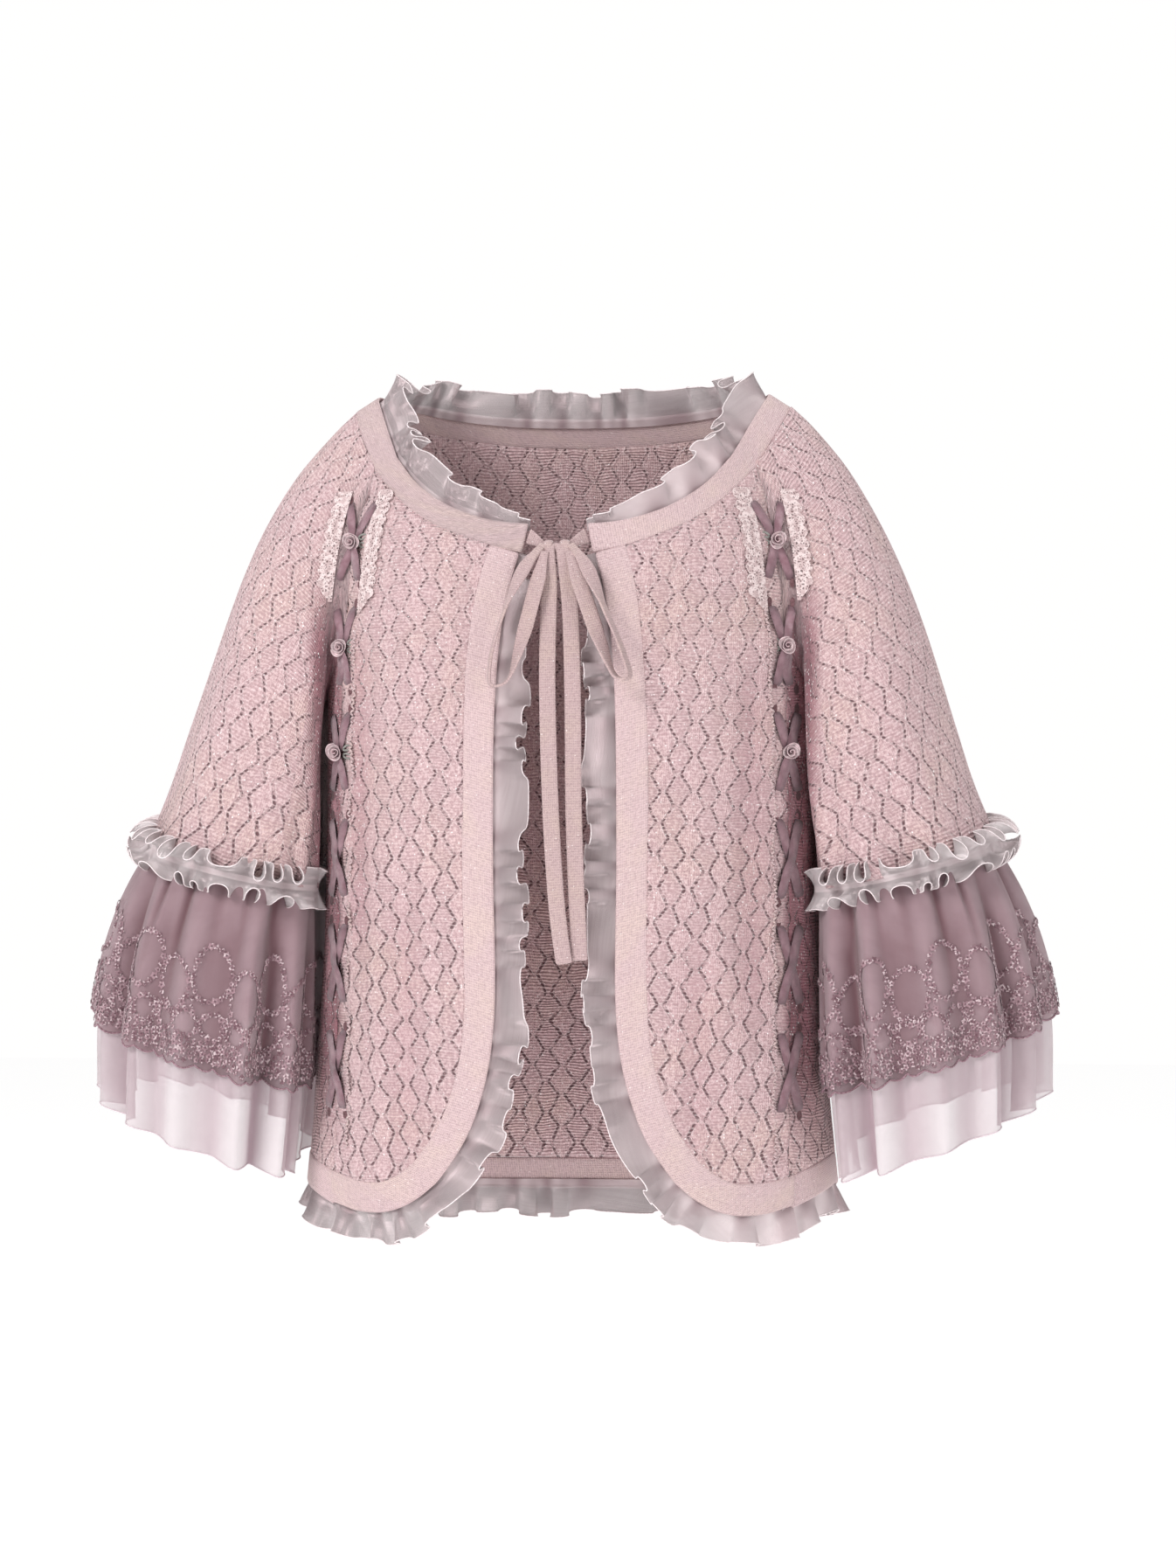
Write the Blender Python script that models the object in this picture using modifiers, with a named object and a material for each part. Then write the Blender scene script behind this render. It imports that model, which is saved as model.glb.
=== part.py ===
# Cape-style knit cardigan, worn open with a bow at the neck: raglan bell sleeves,
# chiffon frills, ribbon lacing down each side and two flounces on each sleeve.
# X is across the body, -Y is the front, Z is up. The origin is between the shoulders.
# Tables are in millimetres, and each mesh is written in metres.

import math

import bpy
import numpy as np
from mathutils import Vector
from mathutils.bvhtree import BVHTree

MM = 0.001

# Cloth
KNIT = 1.6
CHIFFON = 1.0
TRIM = 1.0
TIE = 1.8
SEAM_GAP = 0.3

# Bands and frills
BAND_WIDTH = 21.0
FRILL_UNDER = 5.0
FRILL_BACKSET = 2.4
FRILL_REACH = 22.0
FRILL_WAVE = 5.5
WAVE_STEPS = 4

NECK_WAVES = 15
NECK_RISE = (0.9, 0.1)
FRONT_WAVES = 13
HEM_WAVES = 13

# Grids
FRONT_ROWS = 16
FRONT_COLUMNS = 8
FORK_ROW = 4
SIDE_COLUMNS = 6
BACK_COLUMNS = 6
YOKE_ROWS = 5
SHOULDER_COLUMNS = 12
SLEEVE_ROWS = 9
SEAM_ROW = 0.06
SLEEVE_EASE = 3

# The body in plan is a superellipse at each height: height, half width, depth in front, depth behind
PLAN_POWER = 2.5
BODY = (
    (-640, 194.0, 118.0, 112.0),
    (-580, 189.0, 118.0, 109.0),
    (-500, 181.5, 119.5, 104.0),
    (-400, 175.0, 122.0, 99.5),
    (-300, 172.5, 124.5, 101.0),
    (-230, 171.5, 124.0, 105.0),
    (-160, 168.5, 115.0, 106.5),
    (-110, 164.5, 103.0, 104.0),
    (-78, 158.5, 91.5, 99.0),
    (-55, 153.5, 82.5, 94.0),
    (-28, 149.5, 73.0, 86.0),
    (0, 147.0, 63.0, 74.0),
)

# Neckline seam from the opening to the raglan seam, seen from the front
NECK_FRONT = ((24, -117.5), (46, -113), (66, -106), (90, -95.5), (114, -78), (133, -57))
# The same stretch on the neckband's free edge
NECK_FRONT_EDGE = ((20, -98), (40, -96.5), (60, -91.5), (80, -83), (101, -68), (117, -49))
# Over the shoulder, from the front raglan seam to the back one: x, y, z
SHOULDER = ((148, -25, -28), (154, 3, -12), (147, 32, -13))
SHOULDER_EDGE = ((132, -22, -17), (138.5, 4, -2), (133, 27, -2))
# Across the back, from the raglan seam to the centre: x, z
NECK_BACK = ((126, -18), (100, -24), (52, -30), (0, -32))
NECK_BACK_EDGE = ((114, -4), (90, -8), (46, -12), (0, -13))

# Front panel edge inside the front band, from the neckline round the corner to the side
FRONT_EDGE = (
    (46, -113),
    (54, -143),
    (59, -178),
    (62, -222),
    (63, -330),
    (62, -420),
    (64.5, -456),
    (71, -486),
    (81, -511.5),
    (95, -532.5),
    (109, -545),
    (123, -551),
    (139, -551),
    (157, -547),
)
CORNER_KNOT = 9

# The laced seam down each side: height, distance from the centre
LACED_SEAM = (
    (-560, 157),
    (-420, 157),
    (-300, 156),
    (-180, 153),
    (-140, 150),
    (-105, 145.5),
    (-80, 140),
    (-57, 133),
)
SEAM_TOP = -57.0
SEAM_BOTTOM = -547.0

# Back raglan seam: height, distance from the centre
BACK_RAGLAN = ((-170, 150), (-110, 144.5), (-60, 137), (-18, 126))
RAGLAN_FOOT = -170.0
ARMHOLE_DIP = 44.0
ARMHOLE_INSET = 1.25
HEM_RISE = 12.0

# Soft vertical folds in the fronts: side, x, top, bottom, width, depth
FOLDS = (
    (-1, 139, -150, -420, 9.0, 6.0),
    (-1, 104, -330, -560, 13.0, 3.0),
    (1, 132, -170, -470, 11.0, 4.0),
    (1, 96, -360, -560, 14.0, 3.0),
)

# Sleeve end, an oval ring that tilts up outwards and down in front
CUFF_CENTRE = (232.0, -4.0, -331.0)
CUFF_HALF = (67.0, 88.0)
CUFF_SLOPE = 0.231
CUFF_TILT = 0.097
CUFF_POWER = 2.3
CUFF_AXIS = (-0.30, 0.0, 0.954)
ARM_CLEARANCE = 9.0
ARM_SOFTNESS = 4.0
# Lengthwise lines of the sleeve: column, angle at the cuff, handle at the seam x y z, handle at the cuff
SLEEVE_LINES = (
    (0, 118, 38, 2, -34, 120),
    (4, 150, 18, -4, 4, 60),
    (7, 180, 18, 0, 9, 40),
    (10, 212, 18, 4, 4, 60),
    (15, 246, 38, -2, -28, 130),
    (21, 360, 55, 0, -30, 238),
    (27, 478, 38, 2, -34, 120),
)

# Sleeve ruffle, with both edges free
RUFFLE_WAVES = 22
RUFFLE_HALF = 12.5
RUFFLE_LIFT = 2.2
RUFFLE_FLARE = 6.5
RUFFLE_WAVE = 3.2

# Flounces: drop below the cuff, centre x, half width, half depth, slope, wave
FLOUNCE_FOLDS = 14
FLOUNCE = (
    (0.0, 232.0, 67.0, 88.0, 0.231, 0.0),
    (40.0, 240.0, 74.0, 96.0, 0.25, 4.0),
    (135.0, 251.0, 81.0, 108.0, 0.296, 9.0),
    (197.0, 254.0, 80.0, 111.0, 0.36, 9.7),
)
UPPER_ROWS = (0.5, 60.0, 135.0)
LOWER_ROWS = (0.5, 60.0, 135.0, 197.0)
LINER_INSET = (1.6, 7.0)
SCALLOP_DEPTH = 2.5

# Lacing
RIBBON_WIDTH = 6.0
LACING_PITCH = 73.5
FIRST_CROSSING = -108.0
CROSSINGS = 6
LACING_TOP = -71.25
LACING_HALF = 8.0
RIBBON_LIFT = 2.6
CROSSING_LIFT = 2.8
FORK_HEIGHT = -198.0
FORK_SPAN = 20.0
RIBBON_STEP = 12.25
ROSES = 3
ROSE_LIFT = 8.0
ROSE_TURN = 0.45
ROSE_RADIUS = 6.8
ROSE_HEIGHT = 7.5

# Lace edging beside the lacing: distances from the seam, heights, and step between scallops
LACE_FRONT = (-12.0, -21.0, -76.0, -539.0, 14.0)
LACE_SLEEVE = (13.0, 23.0, -72.0, -150.0, 7.0)
LACE_LIFT = 2.4
CAST_REACH = 200.0
CLEARING_STEPS = 6

# Bow
KNOT_CENTRE = (0.0, -108.0, -112.0)
KNOT_HALF = (8.5, 5.5, 6.5)
TIE_WIDTH = 11.5
LEFT_LOOP = (
    (-9.3, -112, -112),
    (-24, -121, -130),
    (-37, -130, -165),
    (-43, -134, -196),
    (-40, -136, -210),
    (-32, -136, -207),
    (-24, -134, -185),
    (-16, -128, -150),
    (-8.6, -118, -122.5),
)
RIGHT_LOOP = (
    (9.3, -112, -112),
    (22, -121, -127),
    (37, -131, -160),
    (49, -136, -190),
    (52, -138, -205),
    (44, -138, -204),
    (34, -135, -182),
    (20, -128, -147),
    (8.0, -118, -122.5),
)
LEFT_TAIL = (
    (-3.2, -113, -120.5),
    (-4, -122, -150),
    (-4, -132, -210),
    (-1, -136.5, -300),
    (4, -137, -370),
    (8, -137, -399),
)
RIGHT_TAIL = (
    (3.6, -111, -120.5),
    (10, -121, -150),
    (13, -130, -210),
    (14, -133, -290),
    (16, -133.5, -350),
    (18, -133.5, -397),
)
TIE_START = (20.2, -107)
TIE_END = (9.4, -109, -112)
KNOT_GATHER = 0.45
GATHER_LENGTH = 22.0

COLOURS = {
    "knit": ((0.74, 0.52, 0.56, 1), 0.9),
    "band": ((0.76, 0.55, 0.60, 1), 0.9),
    "chiffon": ((0.67, 0.60, 0.64, 1), 0.75),
    "mauve": ((0.40, 0.29, 0.33, 1), 0.75),
    "pale": ((0.84, 0.76, 0.80, 1), 0.75),
    "ribbon": ((0.30, 0.17, 0.20, 1), 0.4),
    "lace": ((0.82, 0.72, 0.71, 1), 0.9),
    "rose": ((0.78, 0.56, 0.59, 1), 0.5),
}


def smooth(t):
    t = np.clip(t, 0.0, 1.0)
    return t * t * (3.0 - 2.0 * t)


def table_value(at, knots, values):
    # A cubic through the table, whose slopes come from the neighbouring rows
    knots = np.asarray(knots, float)
    values = np.asarray(values, float)
    at = np.clip(at, knots[0], knots[-1])
    slopes = np.gradient(values, knots)
    i = np.clip(np.searchsorted(knots, at, side="right") - 1, 0, len(knots) - 2)
    span = knots[i + 1] - knots[i]
    t = (at - knots[i]) / span
    return (
        (2 * t**3 - 3 * t**2 + 1) * values[i]
        + (t**3 - 2 * t**2 + t) * span * slopes[i]
        + (-2 * t**3 + 3 * t**2) * values[i + 1]
        + (t**3 - t**2) * span * slopes[i + 1]
    )


def body_size(z):
    columns = np.array(BODY, float).T
    return tuple(table_value(z, columns[0], column) for column in columns[1:])


def even(points, count):
    # Points at equal distances along a line
    points = np.asarray(points, float)
    steps = np.linalg.norm(np.diff(points, axis=0), axis=1)
    length = np.concatenate([[0.0], np.cumsum(steps)])
    at = np.linspace(0.0, length[-1], count)
    return np.stack([np.interp(at, length, points[:, k]) for k in range(points.shape[1])], axis=1)


def through(rows, count):
    # A smooth curve through the rows, as equally spaced points
    rows = np.asarray(rows, float)
    steps = np.linalg.norm(np.diff(rows, axis=0), axis=1)
    knots = np.concatenate([[0.0], np.cumsum(np.sqrt(steps))])
    at = np.linspace(0.0, knots[-1], 24 * len(rows))
    dense = np.stack([table_value(at, knots, rows[:, k]) for k in range(rows.shape[1])], axis=1)
    return even(dense, count)


def fold_depth(x, z):
    depth = 0.0
    for side, centre, top, bottom, width, deep in FOLDS:
        fade = smooth((top - z) / 60.0) * smooth((z - bottom) / 60.0)
        depth += deep * fade * math.exp(-(((side * x - centre) / width) ** 2))
    return depth


def on_body(x, z, face=-1, lift=0.0):
    # The point of the body's surface at this x and height, on the front (-1) or back (1)
    half, front, back = body_size(z)
    depth = front if face < 0 else back
    reach = max(1.0 - min(abs(x) / half, 1.0) ** PLAN_POWER, 0.0) ** (1.0 / PLAN_POWER)
    y = face * depth * reach
    if face < 0:
        y += fold_depth(x, z)
    point = np.array([x, y, z])
    if lift:
        point = point + lift * body_normal(point)
    return point


def body_normal(point):
    x, y, z = point
    half, front, back = body_size(z)
    depth = front if y < 0 else back
    n = PLAN_POWER - 1.0
    across = np.sign(x) * (abs(x) / half) ** n / half
    along = np.sign(y) * (min(abs(y) / depth, 1.0)) ** n / depth
    normal = np.array([across, along, 0.0])
    return normal / np.linalg.norm(normal)


def plan_arc(z):
    # The body's plan from the laced seam round the side to the centre back, as a dense line
    half, front, back = body_size(z)
    start = math.asin(min(seam_x(z) / half, 1.0) ** (PLAN_POWER / 2.0))
    angles = np.linspace(start, math.pi, 160)
    sines = np.abs(np.sin(angles)) ** (2.0 / PLAN_POWER)
    cosines = np.abs(np.cos(angles)) ** (2.0 / PLAN_POWER)
    y = np.where(angles < math.pi / 2, -front * cosines, back * cosines)
    return np.stack([half * sines, y, np.full(len(angles), float(z))], axis=1)


def along(line, share):
    # The point at this share of a line's length
    steps = np.linalg.norm(np.diff(line, axis=0), axis=1)
    length = np.concatenate([[0.0], np.cumsum(steps)])
    return np.array([np.interp(share * length[-1], length, line[:, k]) for k in range(3)])


def arc_point(z, share):
    return along(plan_arc(z), share)


def arc_share(z, x):
    # Where along that line the back reaches this x
    line = plan_arc(z)
    steps = np.linalg.norm(np.diff(line, axis=0), axis=1)
    length = np.concatenate([[0.0], np.cumsum(steps)])
    behind = line[:, 1] > 0
    return float(np.interp(-x, -line[behind, 0], length[behind]) / length[-1])


def seam_x(z):
    rows = np.array(LACED_SEAM, float)
    return float(table_value(z, rows[:, 0], rows[:, 1]))


def raglan_x(z):
    rows = np.array(BACK_RAGLAN, float)
    return float(table_value(z, rows[:, 0], rows[:, 1]))


def inset(grid, top=0.0, bottom=0.0, left=0.0, right=0.0, closed=False):
    # Draws the edges of a panel in from its seams
    grid = grid.copy()

    def drawn(edge, inner, distance):
        # Square to the seam, so that a slanting line doesn't narrow the gap
        ahead = np.roll(edge, -1, axis=0) if closed else np.concatenate([edge[1:], edge[-1:]])
        behind = np.roll(edge, 1, axis=0) if closed else np.concatenate([edge[:1], edge[:-1]])
        along_seam = ahead - behind
        along_seam = along_seam / np.linalg.norm(along_seam, axis=-1, keepdims=True)
        away = inner - edge
        if closed:
            away = away - along_seam * np.sum(away * along_seam, axis=-1, keepdims=True)
        return edge + away * distance / np.linalg.norm(away, axis=-1, keepdims=True)

    if top:
        grid[0] = drawn(grid[0], grid[1], top)
    if bottom:
        grid[-1] = drawn(grid[-1], grid[-2], bottom)
    if left:
        grid[:, 0] = drawn(grid[:, 0], grid[:, 1], left)
    if right:
        grid[:, -1] = drawn(grid[:, -1], grid[:, -2], right)
    return grid


def mirrored(grid):
    # The other side's panel, with its columns turned round so that it still faces out
    return (grid * np.array([-1.0, 1.0, 1.0]))[:, ::-1]


materials = {}
parts = bpy.data.collections.new("knit_cape")


def cloth(name):
    if name not in materials:
        colour, roughness = COLOURS[name]
        material = bpy.data.materials.new(name)
        material.use_nodes = True
        shader = material.node_tree.nodes["Principled BSDF"]
        shader.inputs["Base Color"].default_value = colour
        shader.inputs["Roughness"].default_value = roughness
        shader.inputs["Metallic"].default_value = 0.0
        materials[name] = material
    return materials[name]


def add_mesh(name, points, faces, material):
    mesh = bpy.data.meshes.new(name)
    mesh.from_pydata([tuple(point * MM) for point in points], [], faces)
    mesh.validate()
    part = bpy.data.objects.new(name, mesh)
    mesh.materials.append(cloth(material))
    mesh.shade_smooth()
    parts.objects.link(part)
    return part


def add_sheet(name, grid, thickness, material, closed=False, more=None):
    # A panel as an open surface with Solidify; a closed one joins its last column to its first.
    # more holds further grids whose edges share points with the first.
    points = []
    faces = []
    found = {}

    def index_of(point):
        key = tuple(np.round(point, 4))
        if key not in found:
            found[key] = len(points)
            points.append(np.array(point))
        return found[key]

    for panel in [grid] + (more or []):
        rows, columns = panel.shape[:2]
        index = [[index_of(panel[r, c]) for c in range(columns)] for r in range(rows)]
        for r in range(rows - 1):
            for c in range(columns if closed else columns - 1):
                d = (c + 1) % columns
                faces.append((index[r][c], index[r + 1][c], index[r + 1][d]))
                faces.append((index[r][c], index[r + 1][d], index[r][d]))
    part = add_mesh(name, points, faces, material)
    solid = part.modifiers.new("Thickness", "SOLIDIFY")
    solid.thickness = thickness * MM
    solid.offset = 0.0
    return part


def front_panel():
    # A patch between the neckline, the front band, the hem and the laced seam, as (x, z)
    corner = FRONT_EDGE[CORNER_KNOT]
    line = through(FRONT_EDGE, 400)
    turn = int(np.argmin(np.linalg.norm(line - np.array(corner), axis=1)))
    top = through(NECK_FRONT[1:], FRONT_COLUMNS + 1)
    left = even(line[: turn + 1], FRONT_ROWS + 1)
    bottom = even(line[turn:], FRONT_COLUMNS + 1)
    heights = np.linspace(SEAM_TOP, SEAM_BOTTOM, FRONT_ROWS + 1)
    right = np.array([[seam_x(z), z] for z in heights])
    top[-1] = right[0]
    bottom[-1] = right[-1]
    top[0] = left[0]
    flat = np.zeros((FRONT_ROWS + 1, FRONT_COLUMNS + 1, 2))
    for r in range(FRONT_ROWS + 1):
        v = r / FRONT_ROWS
        for c in range(FRONT_COLUMNS + 1):
            u = c / FRONT_COLUMNS
            sides = (1 - v) * top[c] + v * bottom[c] + (1 - u) * left[r] + u * right[r]
            upper = (1 - u) * top[0] + u * top[-1]
            lower = (1 - u) * bottom[0] + u * bottom[-1]
            flat[r, c] = sides - (1 - v) * upper - v * lower
    return flat


def draped(flat, side):
    # The patch laid on the front of the body; side is 1 on the right of the picture, -1 on its left
    rows, columns = flat.shape[:2]
    grid = np.zeros((rows, columns, 3))
    for r in range(rows):
        for c in range(columns):
            grid[r, c] = on_body(side * flat[r, c, 0], flat[r, c, 1])
    return grid


def facing(grid, side):
    # Rows run down and columns run to the wearer's left, so that every panel faces out
    return grid if side > 0 else grid[:, ::-1]


def hem_height(share):
    # The hem rises a little at the side of the body and dips towards the centre back
    rise = HEM_RISE * math.sin(math.pi * min(share / 0.42, 1.0))
    return SEAM_BOTTOM + rise - 4.0 * smooth((share - 0.42) / 0.4)


def back_half():
    # The lower back from the laced seam to the centre, and the yoke between the raglan seams
    foot = arc_share(RAGLAN_FOOT, raglan_x(RAGLAN_FOOT))
    shares = list(np.linspace(0.0, foot, SIDE_COLUMNS + 1))
    shares += list(np.linspace(foot, 1.0, BACK_COLUMNS + 1))[1:]
    fork = SEAM_TOP + (SEAM_BOTTOM - SEAM_TOP) * FORK_ROW / FRONT_ROWS
    rows = FRONT_ROWS - FORK_ROW
    lower = np.zeros((rows + 1, len(shares), 3))
    for c, share in enumerate(shares):
        if share < foot:
            across = share / foot
            top = fork + (RAGLAN_FOOT - fork) * across - ARMHOLE_DIP * math.sin(math.pi * across)
        else:
            top = RAGLAN_FOOT
        for r in range(rows + 1):
            z = top + (hem_height(share) - top) * r / rows
            lower[r, c] = arc_point(z, share)
    yoke = np.zeros((YOKE_ROWS + 1, BACK_COLUMNS + 1, 3))
    neck = through(NECK_BACK, BACK_COLUMNS + 1)
    for c in range(BACK_COLUMNS + 1):
        for r in range(YOKE_ROWS + 1):
            z = neck[c, 1] + (RAGLAN_FOOT - neck[c, 1]) * r / YOKE_ROWS
            raglan_z = NECK_BACK[0][1] + (RAGLAN_FOOT - NECK_BACK[0][1]) * r / YOKE_ROWS
            edge = arc_share(z, raglan_x(raglan_z))
            yoke[r, c] = arc_point(z, edge + (1.0 - edge) * c / BACK_COLUMNS)
    yoke[-1] = lower[0, SIDE_COLUMNS:]
    return lower, yoke


def whole(half):
    # A grid from the right half, whose last column is on the centre line
    return np.concatenate([half, mirrored(half)[:, 1:]], axis=1)


def shoulder_line(front, back, rows, count):
    return through([front, *rows, back], count)


def clear_of_body(point, clearance, reach):
    # Moves a point outwards where it would come closer to the body than the clearance
    x, y, z = point
    half, front, back = body_size(z)
    depth = front if y < 0 else back
    inside = max(1.0 - min(abs(y) / depth, 1.0) ** PLAN_POWER, 0.0) ** (1.0 / PLAN_POWER)
    wall = half * inside + clearance
    moved = wall + ARM_SOFTNESS * float(np.logaddexp(0.0, (x - wall) / ARM_SOFTNESS))
    return np.array([x + (moved - x) * reach, y, z])


def oval(angle, centre_x, half_x, half_y, slope, drop, inward=0.0):
    # A ring round the sleeve: 0 degrees is the outer side, 90 the front, 180 the body's side
    cosine = math.cos(math.radians(angle))
    sine = math.sin(math.radians(angle))
    power = 2.0 / CUFF_POWER
    x = centre_x + (half_x - inward) * math.copysign(abs(cosine) ** power, cosine)
    y = CUFF_CENTRE[1] - (half_y - inward) * math.copysign(abs(sine) ** power, sine)
    z = CUFF_CENTRE[2] - drop + (x - CUFF_CENTRE[0]) * slope + (y - CUFF_CENTRE[1]) * CUFF_TILT
    return np.array([x, y, z])


def free_share(angle, least):
    # How freely a wave stands out at this angle: less where the sleeve lies against the body
    return least + (1.0 - least) * smooth((abs(angle - 180.0) - 20.0) / 50.0)


def cuff_point(angle):
    point = oval(angle, CUFF_CENTRE[0], CUFF_HALF[0], CUFF_HALF[1], CUFF_SLOPE, 0.0)
    return clear_of_body(point, ARM_CLEARANCE, 1.0)


def sleeve(front, lower, yoke, neck_front, neck_back):
    # Lengthwise lines from the armhole and neckline to the cuff
    raglan_front = [front[r, -1] for r in range(FORK_ROW + 1)]
    armhole = [lower[0, c] for c in range(1, SIDE_COLUMNS + 1)]
    raglan_back = [yoke[r, 0] for r in range(YOKE_ROWS - 1, -1, -1)]
    shoulder = list(shoulder_line(neck_front, neck_back, SHOULDER, SHOULDER_COLUMNS + 1)[::-1][1:-1])
    seam = raglan_front + armhole + raglan_back + shoulder
    table = np.array(SLEEVE_LINES, float)
    shares = [0.0, *np.linspace(SEAM_ROW, 1.0, SLEEVE_ROWS)]
    grid = np.zeros((SLEEVE_ROWS + 1, len(seam), 3))
    for j, start in enumerate(seam):
        angle, *handle, pull = [table_value(j, table[:, 0], table[:, k]) for k in range(1, 6)]
        end = cuff_point(angle)
        first = start + np.array(handle)
        last = end + np.array(CUFF_AXIS) * pull
        t = np.linspace(0.0, 1.0, 60)[:, None]
        line = (1 - t) ** 3 * start + 3 * (1 - t) ** 2 * t * first + 3 * (1 - t) * t**2 * last + t**3 * end
        for r, share in enumerate(shares):
            grid[r, j] = clear_of_body(along(line, share), ARM_CLEARANCE, float(smooth(share / 0.3)))
    for _ in range(SLEEVE_EASE):
        across = (np.roll(grid, 1, axis=1) + np.roll(grid, -1, axis=1)) / 2
        grid[1:-1] += (0.35 * (across - grid) + 0.15 * ease_lengthwise(grid))[1:-1]
    return grid


def ease_lengthwise(grid):
    # How far each point is from the middle of its neighbours above and below
    change = np.zeros_like(grid)
    change[1:-1] = (grid[:-2] + grid[2:]) / 2 - grid[1:-1]
    return change


def unit(vector):
    return vector / np.linalg.norm(vector)


def band_edge(line, side):
    # The free edge of the front band, moved out from its seam on the front of the body
    edge = []
    for i, (x, z) in enumerate(line):
        before = line[max(i - 1, 0)]
        after = line[min(i + 1, len(line) - 1)]
        tangent = unit(after - before)
        out = np.array([tangent[1], -tangent[0]])
        level = smooth((i - len(line) + 1 + FRONT_COLUMNS / 2) / (FRONT_COLUMNS / 2))
        out = unit(out * (1 - level) + np.array([0.0, -1.0]) * level)
        edge.append((x + out[0] * BAND_WIDTH, z + out[1] * BAND_WIDTH))
    return np.array([on_body(side * x, z) for x, z in edge])


def frill(line, out, inner, waves, reach):
    # A gathered strip behind a band's free edge: out points away from the band, inner behind it,
    # and reach is how far the strip stands out at each point of the line, as a share of the whole
    rows = ((-FRILL_UNDER, FRILL_BACKSET, 0.0), (0.45 * FRILL_REACH, 2.6, 1.3), (FRILL_REACH, 1.5, FRILL_WAVE))
    count = waves * WAVE_STEPS + 1
    share = np.linspace(0.0, 1.0, len(line))
    at = np.linspace(0.0, 1.0, count)

    def sampled(values):
        return np.stack([np.interp(at, share, values[:, k]) for k in range(3)], axis=1)

    base, away, behind = sampled(line), sampled(out), sampled(inner)
    grid = np.zeros((len(rows), count, 3))
    for c in range(count):
        phase = 2 * math.pi * c / WAVE_STEPS
        uneven = 1.0 + 0.35 * math.sin(0.27 * phase + 0.6)
        for r, (distance, backset, swing) in enumerate(rows):
            lean = backset + swing * uneven * math.sin(phase)
            full = np.interp(at[c], share, reach)
            length = distance * (1.0 + 0.08 * math.sin(phase * 0.37)) * full if distance > 0 else distance
            grid[r, c] = base[c] + unit(away[c]) * length + unit(behind[c]) * (backset + (lean - backset) * full)
    return grid


def flounce_grid(rows, inset_range, scallop):
    table = np.array(FLOUNCE, float)
    count = FLOUNCE_FOLDS * WAVE_STEPS
    grid = np.zeros((len(rows), count, 3))
    for r, drop in enumerate(rows):
        centre, half_x, half_y, slope, wave = [table_value(drop, table[:, 0], column) for column in table.T[1:]]
        inward = inset_range[0] + (inset_range[1] - inset_range[0]) * drop / table[-1, 0]
        for c in range(count):
            angle = 360.0 * c / count
            turn = 2 * math.pi * c / WAVE_STEPS
            uneven = 1.0 + 0.3 * math.sin(math.radians(angle) * 3 + 0.8)
            swing = wave * uneven * math.sin(turn)
            inner = inward - swing * free_share(angle, 0.4)
            edge = scallop * abs(math.sin(turn / 2)) if r == len(rows) - 1 else 0.0
            point = oval(angle, centre, half_x, half_y, slope, drop + edge, inner)
            grid[r, c] = clear_of_body(point, ARM_CLEARANCE + inner, 1.0)
    return grid


def ruffle_grid():
    count = RUFFLE_WAVES * WAVE_STEPS
    grid = np.zeros((3, count, 3))
    for r, side in enumerate((1.0, 0.0, -1.0)):
        for c in range(count):
            angle = 360.0 * c / count
            turn = 2 * math.pi * c / WAVE_STEPS
            spread = abs(side) * (RUFFLE_FLARE + RUFFLE_WAVE * math.sin(turn + 0.9 * side))
            flare = RUFFLE_LIFT + spread * free_share(angle, 0.25)
            point = oval(angle, CUFF_CENTRE[0], CUFF_HALF[0], CUFF_HALF[1], CUFF_SLOPE, 0.0, -flare)
            point = clear_of_body(point, ARM_CLEARANCE - flare, 1.0)
            axis = unit(np.array([CUFF_AXIS[0] * free_share(angle, 0.0), 0.0, CUFF_AXIS[2]]))
            grid[r, c] = point + axis * side * RUFFLE_HALF
    return grid


def cloth_under(grids):
    # The panels as one surface that trim can be laid on
    points = []
    faces = []
    for grid, closed in grids:
        rows, columns = grid.shape[:2]
        first = len(points)
        points += [Vector(point) for point in grid.reshape(-1, 3)]
        for r in range(rows - 1):
            for c in range(columns if closed else columns - 1):
                d = (c + 1) % columns
                upper, lower = first + r * columns, first + (r + 1) * columns
                faces.append((upper + c, lower + c, lower + d))
                faces.append((upper + c, lower + d, upper + d))
    return BVHTree.FromPolygons(points, faces)


def laid(surface, x, z, lift):
    # The point that shows at this x and height from the front, moved clear of all the cloth round it
    point = on_body(x, z)
    hit = surface.ray_cast(Vector((x, -CAST_REACH, z)), Vector((0, 1, 0)), CAST_REACH)[0]
    if hit is not None:
        point = np.array(hit)
    point = point + unit(body_normal(point) + np.array([0.0, -1.0, 0.0])) * lift
    for _ in range(CLEARING_STEPS):
        near = np.array(surface.find_nearest(Vector(point))[0])
        away = point - near
        distance = np.linalg.norm(away)
        if distance < lift:
            point = near + away * lift / distance
    return point


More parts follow.
